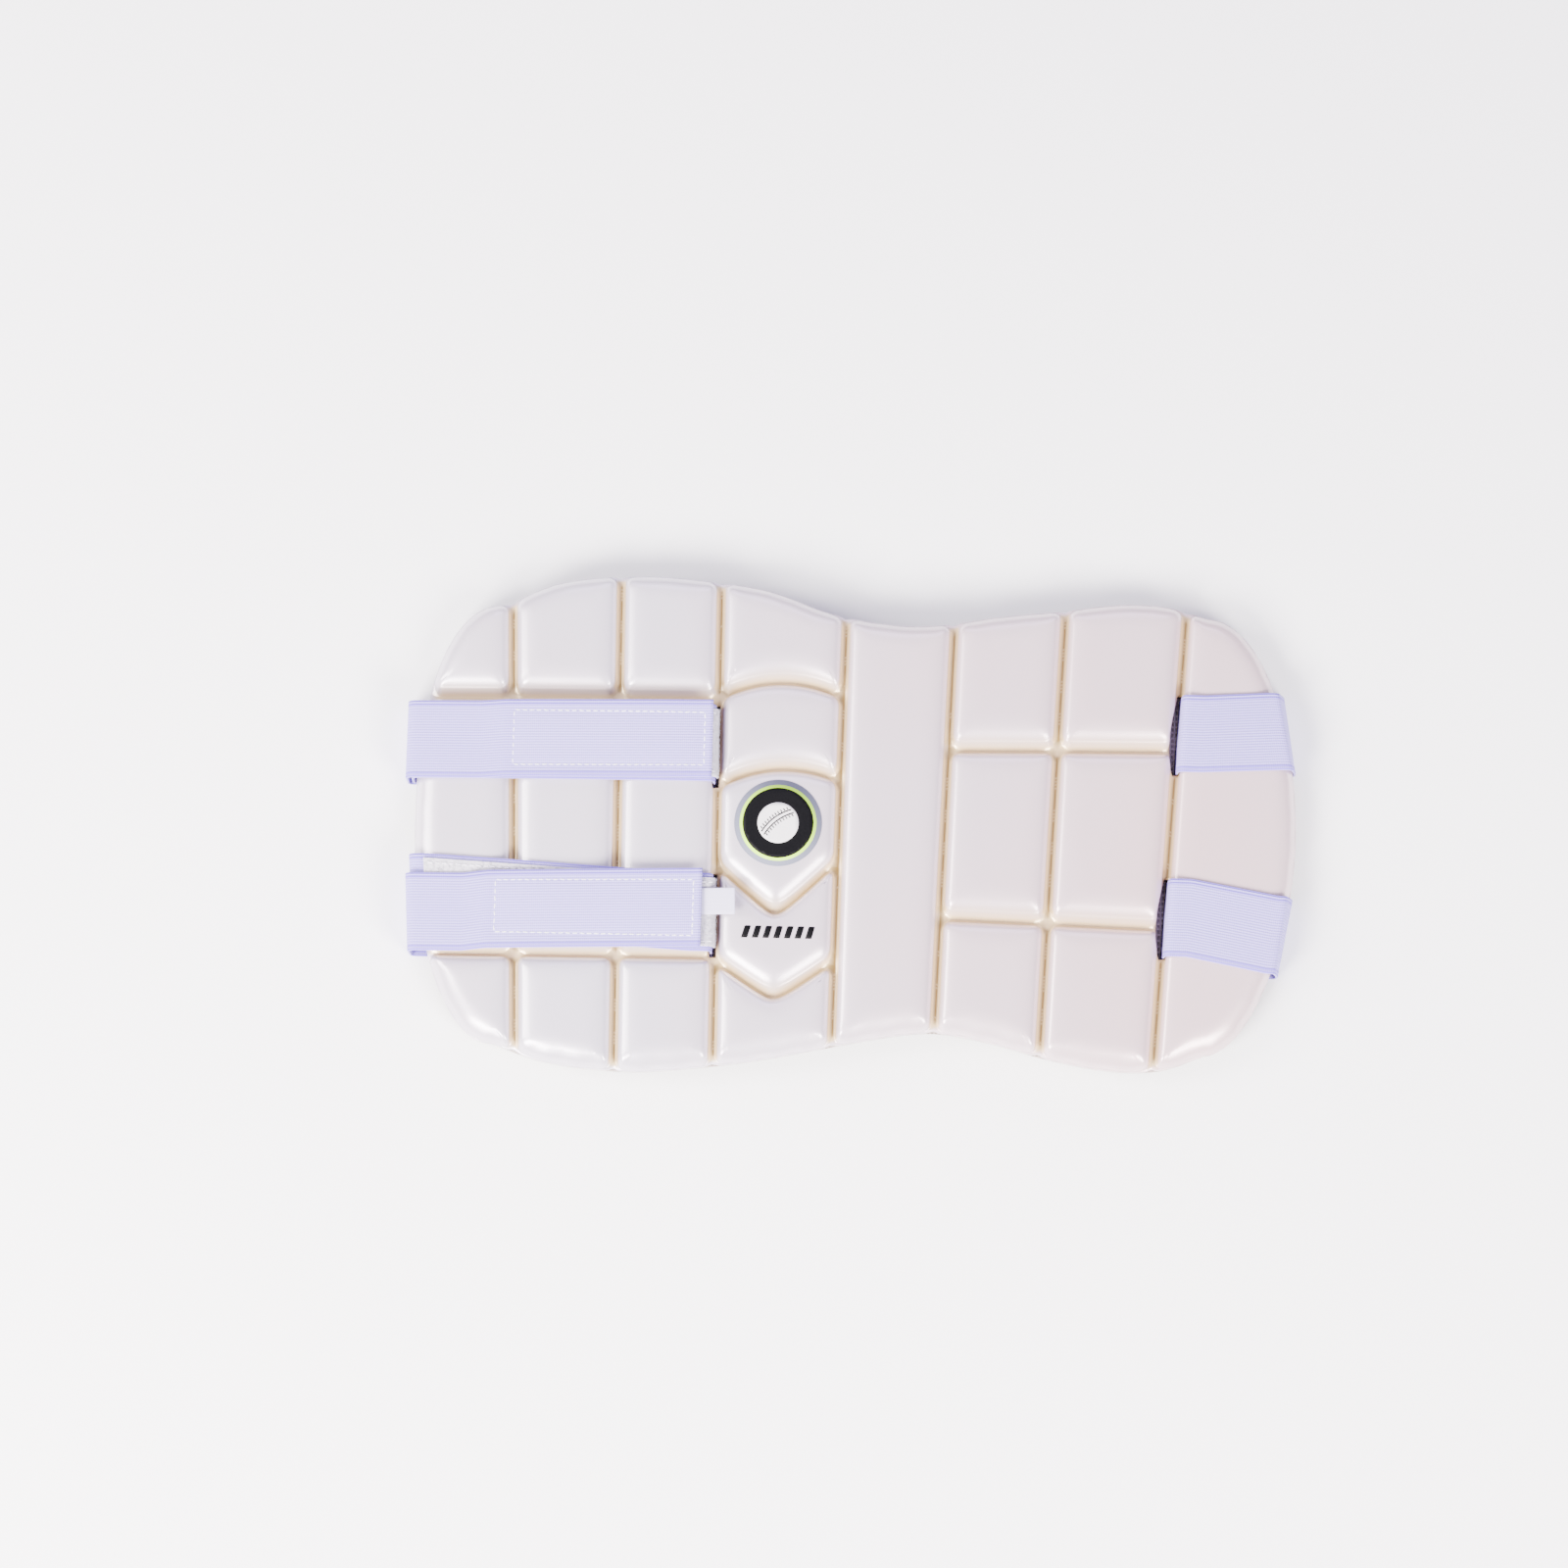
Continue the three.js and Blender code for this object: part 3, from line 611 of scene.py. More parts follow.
# Follows the directed border edges round into closed loops
def borderLoops(faces):
    edges = {(f[i], f[(i + 1) % 3]) for f in faces.tolist() for i in range(3)}
    onward = {a: b for a, b in edges if (b, a) not in edges}
    loops = []
    while onward:
        start = next(iter(onward))
        loop, at = [], start
        while at in onward:
            loop.append(at)
            at = onward.pop(at)
        loops.append(loop)
    return loops


# The foam: domed blocks on one floor sheet, with the strap slots cut through the floor
foamLook = {
    "blockHeight": 8.7, "shoulderRun": 5.2, "shoulderPower": 2.2, "wallPower": 0.6,   # steep and tight
    "waistRun": 5.0, "sideRun": 2.0,   # shoulders that face the waist edge are longer, left ones shorter
    "edgeRun": 3.0, "edgeFade": 4.0,   # and those this close to the pad's edge longer again
    "crown": 0.27, "crownRun": 13.0,   # share of the height that is a slow crown
    "skirt": 3.0, "sideSkirt": 1.2,   # walls that face the waist or the right slope out over the groove floor
    "foot": [(-0.9, 0.0), (-0.5, 0.2), (-0.15, 0.6)],   # small fillet: inset, height over the floor
    "footFade": 3.0, "slotClear": 0.15, "slotStep": 0.06,   # feet draw in at the edge and beside slots
    "flank": [0.1, 0.3, 0.6, 1.0, 1.5, 2.1, 2.8, 3.6, 4.5, 5.5, 6.6],   # insets of the rings round the edge
    "gridMm": 3.2, "gridMargin": 1.4, "edgeMm": 2.0, "outlineMm": 1.6, "underMm": 14.0, "underMargin": 3.0,
    "softMm": 3.0, "softShare": 0.7, "softTurns": 8,   # corners of the dome are evened out over this distance
    # the rim of the floor sheet: out from the outline, height over the underside
    "rim": [(0.35, 6.0), (0.6, 5.6), (0.7, 5.0), (0.7, 3.0), (0.55, 0.8), (0.2, 0.0)],
    "notch": 1.2, "notchRun": 2.6, "fill": 0.95,
}
# The groove attribute is painted light and shade: 0 on the faces, then cream painted bounce light on the walls
# and tan painted shade to 1 on the darkest floors
paintedShadingLook = {
    "cross": 0.08, "long": 0.22, "slant": 0.7, "slantMost": 0.5,   # long and slanting grooves are darker
    # the bounce is painted bounce light on the walls, reaching further up the waist-side walls
    "footMm": 0.6, "bounce": 0.3, "warmMm": 3.4, "warmWaist": 1.1,   # warm further up on waist-side walls
    "crossingMm": 2.5, "crossingLeast": 0.3,   # crossings get more light
    "fadeMm": 4.0, "fadeFrom": 0.4,   # no tint at the pad's edge
    "middleFrom": 1.0, "middleMm": 1.6, "middleLeast": 0.3,
    # points along the long grooves' middles: reach, spacing, place aside, room to the feet and the edge
    "lineReach": 150.0, "lineMm": 2.0, "lineAside": 0.6, "lineClear": 0.3, "lineInset": 1.0,
}


# Height of a block's wall and shoulder over the groove floor, by distance in from its foot
def wallHeight(inward, skirt, run):
    left = 1 - np.clip((inward + skirt) / (run + skirt), 0, 1)
    high = foamLook["blockHeight"] * (1 - foamLook["crown"])
    return high * (1 - left ** foamLook["shoulderPower"]) ** foamLook["wallPower"]


def loopDistance(points, loop):
    a, b = loop[None], np.roll(loop, -1, 0)[None]
    edge, to = b - a, points[:, None] - a
    t = np.clip((to * edge).sum(2) / (edge * edge).sum(2), 0, 1)
    return np.linalg.norm(to - edge * t[..., None], axis=2).min(1)


# Skin heights at points of a block: the wall's, averaged over a small disc that shrinks towards the foot,
# and a slow crown over a distance that has no creases at the corners
def skinOver(points, loop, runs, skirt=0.0):
    look = foamLook
    weight = np.maximum(np.linalg.norm(points[:, None] - loop[None], axis=2), 1.0) ** -4.0
    run = (weight * runs).sum(1) / weight.sum(1)
    apart = loopDistance(points, loop)
    reach = np.clip((apart - 1) * look["softShare"], 0, look["softMm"])
    total = wallHeight(apart, skirt, run)
    turns = np.arange(look["softTurns"]) * 2 * math.pi / look["softTurns"]
    for turn in turns:
        aside = points + np.stack([np.cos(turn) * reach, np.sin(turn) * reach], 1)
        total = total + wallHeight(loopDistance(aside, loop), skirt, run)
    # a straight row of points at distance d has weights that add up to pi / 2 / d**3 for each unit of length
    smooth = (padShape["step"] * 2 / math.pi * weight.sum(1)) ** (-1 / 3)
    toCrown = 1 - np.clip(smooth / look["crownRun"], 0, 1)
    return total / (1 + len(turns)) + look["blockHeight"] * look["crown"] * (1 - toCrown ** 2)


# Least inset of each foot point that keeps it clear of the strap slots
def slotInset(loop):
    free = -99.0   # far outside: no slot is near
    inset = np.full(len(loop), free)
    for name, (groove, low, high, *_) in padShape["slots"].items():
        across = loop[:, 0] - grooveX(groove, loop[:, 1])
        left, right = slotEdges(name, loop[:, 1])
        reach = np.where(across < 0, -left, right) + foamLook["slotClear"] - np.abs(across)
        past = np.maximum(0, np.maximum(low - loop[:, 1], loop[:, 1] - high))
        near = np.abs(across) < padShape["groove"]
        inset = np.maximum(inset, np.where(near, reach - past, free))
    return inset


# Dips the outline a little where the long grooves run out over the edge
def notched(outline):
    depth = np.zeros(len(outline))
    for groove, (x, _) in enumerate(padShape["longGrooves"]):
        for side in (0, 1):
            for _ in range(4):   # the groove leans, so its end is closed in on
                x = grooveX(groove, edgeHeight(x, side))
            apart = np.linalg.norm(outline - np.array([x, edgeHeight(x, side)]), axis=1)
            depth += foamLook["notch"] * np.exp(-(apart / foamLook["notchRun"]) ** 2)
    return outline + (insetLoop(outline, 1.0) - outline) * depth[:, None]


def nearest(points, others):
    return np.linalg.norm(points[:, None] - others[None], axis=2).min(1)


def relaxed(loop):
    return 0.5 * loop + 0.25 * (np.roll(loop, 1, 0) + np.roll(loop, -1, 0))


# Pulls together neighbours of an inset ring that have crossed over each other
def unfolded(ring, loop):
    along = np.roll(loop, -1, 0) - loop
    rounds, apart = 60, 0.01
    for _ in range(rounds):
        crossed = np.nonzero(((np.roll(ring, -1, 0) - ring) * along).sum(1) <= 0)[0]
        if not len(crossed):
            break
        for i in crossed:
            k = (i + 1) % len(ring)
            middle = (ring[i] + ring[k]) / 2
            ring[i], ring[k] = middle - along[i] * apart, middle + along[i] * apart
    return ring


# Points along the middle of the long grooves' floors, where the painted shade is darkest
def grooveMiddles(outline, feet, slots):
    look = paintedShadingLook
    ys = np.arange(-look["lineReach"], look["lineReach"], look["lineMm"])
    middles = np.concatenate([
        np.stack([grooveX(groove, ys) + look["lineAside"], ys], 1)
        for groove in range(len(padShape["longGrooves"]))])
    taken = np.any([insideLoop(middles, loop) for loop in feet + slots], axis=0)
    clear = nearest(middles, np.concatenate(feet + slots)) > look["lineClear"]
    return middles[insideLoop(middles, insetLoop(outline, look["lineInset"])) & clear & ~taken]


# Share of the painted shade and bounce light that a point keeps by its distance from the pad's edge
def inlandShare(toEdge):
    return np.clip(toEdge / paintedShadingLook["fadeMm"] - paintedShadingLook["fadeFrom"], 0, 1)


# Rings of one block from its foot up to the shoulder, as points, heights and painted shade and bounce light,
# with what its crown needs
def blockRings(loop, others, edge):
    look, paintedShade = foamLook, paintedShadingLook
    toEdge = nearest(loop, edge)
    inward = insetLoop(loop, 1.0) - loop
    downward = np.clip(inward[:, 1], 0, 1)   # walls that face the waist
    leftward, rightward = np.clip(inward[:, 0], 0, 1), np.clip(-inward[:, 0], 0, 1)
    away = np.clip(toEdge / look["edgeFade"], 0, 1)
    skirt = (look["skirt"] * downward ** 2 + look["sideSkirt"] * rightward ** 2) * away
    runs = look["shoulderRun"] + look["waistRun"] * downward - look["sideRun"] * leftward * away
    runs = runs + look["edgeRun"] * (1 - away)
    narrow = np.clip(
        1 - (nearest(loop, others) - padShape["row"]) / paintedShade["crossingMm"], paintedShade["crossingLeast"], 1)
    slant = np.clip(np.abs(inward[:, 0] * inward[:, 1]), 0, paintedShade["slantMost"])
    deep = paintedShade["cross"] + paintedShade["long"] * inward[:, 0] ** 2 + paintedShade["slant"] * slant
    clear = slotInset(loop)
    rings, ring, reached = [], loop, 0.0
    for r, (inset, height) in enumerate(look["foot"] + [(inset, None) for inset in look["flank"]]):
        least = clear + look["slotStep"] * r
        if inset <= 0:
            share = inset / look["foot"][0][0]
            at = np.maximum(inset * np.clip(toEdge / look["footFade"], 0, 1) - skirt * share, least)
            here = loop + inward * at[:, None]
            sloped = skirt / look["skirt"]
            heights = height * (1 - sloped) + wallHeight(at, skirt, runs) * sloped
        else:
            ring = insetLoop(ring, inset - reached)
            for _ in range(1 + int(inset)):
                ring = relaxed(ring)
            ring, reached = unfolded(ring, loop), inset
            here = ring + inward * np.maximum(0, least - inset)[:, None]
            heights = skinOver(ring, loop, runs, skirt)
        # painted bounce light up the walls and painted shade at the feet, strongest in long and slanting
        # grooves
        bounce = np.maximum(0.0, 1 - heights / (paintedShade["warmMm"] * (1 + paintedShade["warmWaist"] * downward)))
        shade = deep * np.exp(-heights / paintedShade["footMm"]) + paintedShade["bounce"] * bounce
        rings.append((here, heights, inlandShare(toEdge) * narrow * shade))
    return rings, ring, runs


def buildFoam():
    look = foamLook
    points, faces, paintedShades = [], [], []
    count = 0

    # a ring's groove value is the painted shade and bounce light of its points
    def addRing(ring, z, groove):
        nonlocal count
        points.append(np.column_stack([ring, np.broadcast_to(z, len(ring))]))
        paintedShades.append(np.broadcast_to(groove, len(ring)))
        count += len(ring)
        return count - len(ring)

    # numbers of a filled sheet's points: those of its loops, which are there already, then its own
    def sheetIds(flat, loops, z, groove):
        ids = [k for start, size in loops for k in range(start, start + size)]
        spare = addRing(flat[len(ids):], z, groove)
        return np.array(ids + list(range(spare, count)))

    edge = resampled(padOutline(), look["edgeMm"])
    loops = blockLoops()
    feet, footRings = [], []
    for k, loop in enumerate(loops):
        n = len(loop)
        rings, ring, runs = blockRings(loop, np.concatenate(loops[:k] + loops[k + 1:]), edge)
        rows = [addRing(here, floorZ + heights, paintedShade) for here, heights, paintedShade in rings]
        feet.append(rings[0][0])
        footRings.append((rows[0], n))
        for low, high in zip(rows, rows[1:]):
            faces.extend(bridged(low, high, n))
        flat, sheet = filledBetween(ring, [], gridInside(ring, look["gridMm"], look["gridMargin"]))
        ids = sheetIds(flat, [(rows[-1], n)], floorZ + skinOver(flat[n:], loop, runs), 0.0)
        faces.extend(tuple(ids[f]) for f in sheet)

    # floor sheet between the feet, open at the slots
    outline = notched(resampled(padOutline(), look["outlineMm"]))
    outer = insetLoop(outline, -look["rim"][0][0])
    slots = [slotLoop(name) for name in padShape["slots"]]
    cuts = [pair for slot in slots for pair in zip(slot.tolist(), np.roll(slot, -1, 0).tolist())]
    flat, sheet = filledBetween(outer, feet, grooveMiddles(outline, feet, slots), cuts)
    outerStart, n = addRing(outer, floorZ, 0.0), len(outer)
    inner = flat[n + sum(len(foot) for foot in feet):]
    # painted shade on the floor sheet, darkest along the grooves' middles and none at the pad's edge
    toFeet = nearest(inner, np.concatenate(feet)) - paintedShadingLook["middleFrom"]
    dark = np.clip(1 - toFeet / paintedShadingLook["middleMm"], paintedShadingLook["middleLeast"], 1)
    ids = sheetIds(flat, [(outerStart, n)] + footRings, floorZ, dark * inlandShare(nearest(inner, edge)))
    opened = np.any([insideLoop(flat[sheet].mean(1), slot) for slot in slots], axis=0)
    faces.extend(tuple(ids[f]) for f in sheet[~opened])

    # slot walls down to the underside, in full painted shade at the bottom
    holes, holeRings = [], []
    for loop in borderLoops(sheet[opened]):
        low, m = addRing(flat[loop], undersideZ, 1.0), len(loop)
        high = [ids[k] for k in loop]
        faces.extend((high[i], high[(i + 1) % m], low + (i + 1) % m, low + i) for i in range(m))
        holes.append(flat[loop])
        holeRings.append((low, m))

    # rounded rim, then the underside
    last = outerStart
    for out, height in look["rim"][1:]:
        ring = insetLoop(outline, -out)
        start = addRing(ring, undersideZ + height, 0.0)
        faces.extend(bridged(last, start, n, flip=True))
        last = start
    flat, sheet = filledBetween(ring, holes, gridInside(ring, look["underMm"], look["underMargin"], holes))
    ids = sheetIds(flat, [(last, n)] + holeRings, undersideZ, 0.0)
    faces.extend(tuple(ids[f[::-1]]) for f in sheet)

    points = np.concatenate(points)
    points[:, 2] += bow(points[:, 0])
    piece = meshObject("foamPad", points, [tuple(int(v) for v in f) for f in faces], skin)
    # the groove attribute is painted shade and bounce light for the skin's colour
    addAttribute(piece, "groove", np.concatenate(paintedShades))
    carry(piece, "foam", "foam_body")
    return piece


foamPad = buildFoam()
print("foam pad:", len(foamPad.data.polygons), "faces")

# The lining: one knit sheet under the foam, slit where the straps pass
liningLook = {
    # the rounded edge: out from the outline, height over the sheet's underside
    "rim": [(0.0, 2.0), (0.3, 1.8), (0.45, 1.2), (0.45, 0.8), (0.3, 0.2), (0.0, 0.0)],
    "edgeMm": 3.0, "gridMm": 9.0, "gridMargin": 3.0, "slitAside": 1.7, "slitHalf": 1.15, "slitMm": 2.3,
}


# The lining's slit at a slot: just round the strap, on the side where the strap rises
def liningSlit(name):
    groove, low, high = padShape["slots"][name][:3]
    aside = liningLook["slitAside"] * (-1 if "Left" in name else 1)
    y, across, up = (low + high) / 2, liningLook["slitHalf"], (high - low) / 2
    corners = [(-across, -up), (across, -up), (across, up), (-across, up)]
    return resampled(
        np.array([(grooveX(groove, y + v) + aside + h, y + v) for h, v in corners]), liningLook["slitMm"])


def buildLining():
    look = liningLook
    outline = resampled(padOutline(), look["edgeMm"])
    holes = [liningSlit(name) for name in padShape["slots"]]
    rings = [insetLoop(outline, -out) for out, _ in look["rim"]]
    loose = gridInside(rings[0], look["gridMm"], look["gridMargin"], holes)
    flat, sheet = filledBetween(rings[0], holes, loose)
    n, size = len(outline), len(flat)
    top, bottom = look["rim"][0][1], look["rim"][-1][1]
    points = [np.column_stack([flat, np.full(size, liningZ0 + z)]) for z in (top, bottom)]
    faces = [tuple(f) for f in sheet] + [tuple(f[::-1] + size) for f in sheet]
    first = n
    for hole in holes:
        faces.extend(bridged(first, first + size, len(hole)))
        first += len(hole)
    starts = [0]
    for ring, (_, height) in list(zip(rings, look["rim"]))[1:-1]:
        starts.append(sum(len(p) for p in points))
        points.append(np.column_stack([ring, np.full(n, liningZ0 + height)]))
    starts.append(size)
    for high, low in zip(starts, starts[1:]):
        faces.extend(bridged(high, low, n, flip=True))
    points = np.concatenate(points)
    points[:, 2] += bow(points[:, 0])
    piece = meshObject("backLining", points, [tuple(int(v) for v in f) for f in faces], knit)
    carry(piece, "lining", "back_lining")
    edge = padOutline()
    return piece


backLining = buildLining()
print("lining:", len(backLining.data.polygons), "faces")

# Straps, pile tapes and hook patches are bands along runs
# A run's columns are x, z, y, skew and the length along it
strapLook = {
    "width": 43.0, "thickness": 1.4, "edgeRound": 0.5, "acrossMm": 1.6, "alongMm": 2.4, "besideMm": 1.6,
}
pileLook = {
    "width": 38.0, "thickness": 1.2, "edgeRound": 0.45, "from": -234.0, "intoSlot": 7.0,
    "rowAcross": 16.2, "rowFrom": 2.0, "rowShort": 6.0, "rowLift": 0.25,   # its two rows of stitches
}
hookLook = {"width": 32.0, "thickness": 1.0, "edgeRound": 0.3}
# Middle levels over the pad's bow: under the lining, on the foam, on the pile tape and over the hook patch
gap = padShape["gap"]
half = strapLook["thickness"] / 2
underLining = liningZ0 - gap - half
onFront = topZ + gap + half
onPile = onFront + half + gap + pileLook["thickness"] + gap + half
onHook = onPile + hookLook["thickness"] + gap

# Folds and ends are x, y and, for folds, skew
longStraps = {
    "upper": {
        "slot": "upperRight", "slotY": 52.7, "end": (-79.4, 41.6), "hookFrom": -190.0, "hookTo": -84.0,
        "rightFold": (238.5, 55.8, -0.151), "leftFold": (-246.9, 39.6, 0.0),
    },
    "lower": {
        "slot": "lowerRight", "slotY": -49.5, "end": (-83.0, -51.5), "hookFrom": -197.0, "hookTo": -93.0,
        "rightFold": (236.3, -57.1, 0.189), "leftFold": (-243.6, -55.9, -0.064),
    },
}
loopStraps = {
    "upper": {"slot": "upperLeft", "slotY": 40.1, "fold": (-243.9, 40.0, 0.0)},
    "lower": {"slot": "lowerLeft", "slotY": -53.5, "fold": (-241.9, -44.9, -0.08)},
}
turnLook = {
    "tail": 32.0, "foldTail": 36.0, "foldLead": 5.0, "shoulder": 9.0,
    "slotLead": 8.0, "slotOut": 6.0, "frontLead": 12.0, "slack": 1.6,   # beside the slot, and its sag
    "slot": 5.0, "edge": 6.0, "under": 3.0,   # how far from a corner the run starts to turn
    # the right fold: a crease, then a steep strip
    "crease": 2.5, "creaseIn": 4.0, "creaseLead": 4.0, "creaseLean": -0.03, "sideZ": 9.0,
    "hookLead": 16.0, "hookStep": 3.0, "meet": 0.35,   # the free end rises onto its hook patch
    # spacing on the bow, points in a turn, length that a radian counts as
    "bowMm": 6.0, "steps": 10, "bendMm": 5.0,
}


# A corner of a run, with how far before and after it the run turns
def corner(x, z, y, skew=0.0, turn=0.0):
    return (x, z, y, skew, turn)


def bowedRun(fromX, toX, fromY, toY, level, fromSkew=0.0, toSkew=0.0):
    t = np.linspace(0, 1, max(2, int(abs(toX - fromX) / turnLook["bowMm"]) + 1))
    xs = fromX + (toX - fromX) * t
    ys, skews = fromY + (toY - fromY) * t, fromSkew + (toSkew - fromSkew) * t
    return [corner(x, level + bow(x), y, skew) for x, y, skew in zip(xs, ys, skews)]


# Turns the corners into curves and spaces the run: close steps round the turns, long ones on the flats
def roundedRun(corners):
    corners = np.array([[float(v) for v in c] for c in corners])
    path = []
    for i, c in enumerate(corners):
        tip, turn = c[:4], c[4]
        if turn == 0 or i in (0, len(corners) - 1):
            path.append(tip)
            continue
        legs = []
        for other in (corners[i - 1], corners[i + 1]):
            leg = other[:4] - tip
            legs.append(tip + leg * min(0.5, turn / math.hypot(leg[0], leg[1])))
        path.extend(turnPoints(legs[0], tip, legs[1], turnLook["steps"]))
    path = np.array(path)
    steps = np.linalg.norm(np.diff(path[:, :2], axis=0), axis=1)
    path = path[np.concatenate([[True], steps > 1e-6])]
    along = lengths(path[:, :2])
    heading = np.unwrap(np.arctan2(np.gradient(path[:, 1]), np.gradient(path[:, 0])))
    cost = along + turnLook["bendMm"] * np.concatenate([[0], np.cumsum(np.abs(np.diff(heading)))])
    at = np.interp(np.linspace(0, cost[-1], int(cost[-1] / strapLook["alongMm"]) + 2), cost, along)
    return np.column_stack([np.interp(at, along, path[:, k]) for k in range(4)] + [at])


# A strap's tail under the lining and its way up through a slot; side 1 turns to the right, -1 to the left
def slotRun(slot, y, side):
    groove = padShape["slots"][slot][0]
    rise = grooveX(groove, y) + side * (padShape["slotWidth"] / 2 - gap - half)
    skew = padShape["longGrooves"][groove][1]

    def beside(reach, level, turn=0.0):
        x = rise + side * reach
        return corner(x, level + bow(x), y, skew, turn)

    return rise, skew, [
        beside(turnLook["tail"], underLining), beside(turnLook["slotLead"], underLining),
        beside(0.0, underLining - turnLook["slack"], turnLook["under"]),
        beside(0.0, onFront, turnLook["slot"]), beside(turnLook["slotOut"], onFront),
    ]


def longRun(strap):
    look = turnLook
    rise, skew, run = slotRun(strap["slot"], strap["slotY"], 1)
    rx, ry, rightSkew = strap["rightFold"]
    lx, ly, leftSkew = strap["leftFold"]
    endX, endY = strap["end"]
    creaseX, creaseSkew = rx - look["creaseIn"], rightSkew + look["creaseLean"]
    run += bowedRun(
        rise + look["frontLead"], creaseX - look["creaseLead"], strap["slotY"], ry, onFront, skew, creaseSkew)
    run += [
        corner(creaseX, onFront + bow(creaseX), ry, creaseSkew, look["crease"]),
        corner(rx, look["sideZ"], ry, rightSkew, look["edge"]),
        corner(rx, half, ry, rightSkew, look["under"]),
        corner(lx, half, ly, leftSkew, look["under"]),
        corner(lx, onPile + bow(lx), ly, leftSkew, look["edge"]),
    ]
    run += bowedRun(lx + look["shoulder"], strap["hookFrom"] - look["hookLead"], ly, ly, onPile, leftSkew)
    meetY = ly + (endY - ly) * look["meet"]
    run += bowedRun(strap["hookFrom"] - look["hookStep"], endX, meetY, endY, onHook)
    return roundedRun(run)


def loopRun(strap):
    look = turnLook
    rise, skew, run = slotRun(strap["slot"], strap["slotY"], -1)
    fx, fy, foldSkew = strap["fold"]
    run += bowedRun(
        rise - look["frontLead"], fx + look["shoulder"], strap["slotY"], fy, onFront, skew, foldSkew)
    run += [
        corner(fx, onFront + bow(fx), fy, foldSkew, look["edge"]),
        corner(fx, underLining + bow(fx), fy, foldSkew, look["under"]),
    ]
    run += bowedRun(fx + look["foldLead"], fx + look["foldTail"], fy, fy, underLining, foldSkew, foldSkew)
    return roundedRun(run)


# Points on a band: a run, places along it, across it and out from its middle
def onBand(run, along, across, out):
    along, across, out = np.broadcast_arrays(*[np.asarray(v, float) for v in (along, across, out)])
    tx, tz = np.gradient(run[:, 0], run[:, 4]), np.gradient(run[:, 1], run[:, 4])
    size = np.hypot(tx, tz)
    columns = (*run[:, :4].T, tx / size, tz / size)
    x, z, y, skew, tx, tz = (np.interp(along, run[:, 4], column) for column in columns)
    return np.stack([x - tz * out + skew * across, y + across, z + tx * out], -1)


# A closed band with rounded edges; waves lifts it and sewn marks it, both by place along and across
def bandObject(name, run, look, material, waves=None, sewn=None):
    width, thickness, r = look["width"], look["thickness"], look["edgeRound"]
    count = max(4, int(width / strapLook["acrossMm"]))
    flat = np.linspace(-width / 2 + r, width / 2 - r, count)
    arc = np.radians(np.linspace(-90, 90, 7)[1:-1])
    bulge, face = width / 2 - r + r * np.cos(arc), np.ones(count)
    across = np.concatenate([flat, bulge, flat[::-1], -bulge])
    out = np.concatenate([-face, np.sin(arc), face, -np.sin(arc)]) * thickness / 2
    along, n, m = run[:, 4], len(run), len(across)
    lift = 0 if waves is None else waves(along[:, None], across[None])
    points = onBand(run, along[:, None], across[None], out[None] + lift).reshape(-1, 3)
    faces = []
    for i in range(n - 1):
        faces.extend(bridged(i * m, (i + 1) * m, m))
    for first, ring in ((0, range(m)), ((n - 1) * m, range(m - 1, -1, -1))):   # the two cut ends
        middle = len(points)
        points = np.concatenate([points, points[first:first + m].mean(0)[None]])
        ring = [first + k for k in ring]
        faces.extend((ring[(k + 1) % m], ring[k], middle) for k in range(m))
    piece = meshObject(name, points, faces, material)
    if sewn is not None:
        inside = sewn(along[:, None], across[None]).astype(float)
        addAttribute(piece, "sewn", np.concatenate([inside.ravel(), [0.0, 0.0]]))
    uv = np.column_stack([np.repeat(along, m), np.tile(across, n)])
    uv = np.concatenate([uv, [[along[0], 0], [along[-1], 0]]])
    corners = np.empty(len(piece.data.loops), np.int32)
    piece.data.loops.foreach_get("vertex_index", corners)
    piece.data.uv_layers.new(name="bandMm").data.foreach_set("uv", uv[corners].ravel())
    return piece


# Where along a run its front stretch reaches an x
def alongAt(run, x):
    near = 40.0   # keeps other stretches of the front out
    front = np.nonzero(run[:, 1] > topZ + bow(run[:, 0]))[0]
    front = front[np.argsort(run[front, 0])]
    front = front[np.abs(run[front, 0] - x) < near]
    return float(np.interp(x, run[front, 0], run[front, 4]))


# A run beside another one: the same band between two places along it, further out
def besideRun(run, fromAlong, toAlong, out):
    at = np.linspace(fromAlong, toAlong, int(abs(toAlong - fromAlong) / strapLook["besideMm"]) + 2)
    place = onBand(run, at, 0.0, out)
    skew = np.interp(at, run[:, 4], run[:, 3])
    return np.column_stack([place[:, 0], place[:, 2], place[:, 1], skew, lengths(place[:, [0, 2]])])


longRuns = {name: longRun(strap) for name, strap in longStraps.items()}
loopRuns = {name: loopRun(strap) for name, strap in loopStraps.items()}

# Lockstitch boxes that hold the hook patches: x of the left and right rows, then across at left and right
stitchBoxes = {
    "upper": {"x": (-188.3, -83.8), "high": (15.5, 14.4), "low": (-14.8, -14.8)},
    "lower": {"x": (-195.4, -87.6), "high": (15.9, 15.1), "low": (-12.6, -15.6)},
}
stitchLook = {
    "lengthMm": 2.9, "gapMm": 0.9, "widthMm": 0.75, "riseMm": 0.38, "puckerMm": 0.4, "puckerRun": 1.5,
    "seed": 3, "lean": 0.16, "sections": 7, "sides": 6, "tipPower": 4, "tipLeast": 0.05,
}


# Corner points of a stitch box as (along, across) on its strap
def boxCorners(name):
    run, box = longRuns[name], stitchBoxes[name]
    left, right = (alongAt(run, x) for x in box["x"])
    return [(left, box["high"][0]), (right, box["high"][1]), (right, box["low"][1]), (left, box["low"][0])]


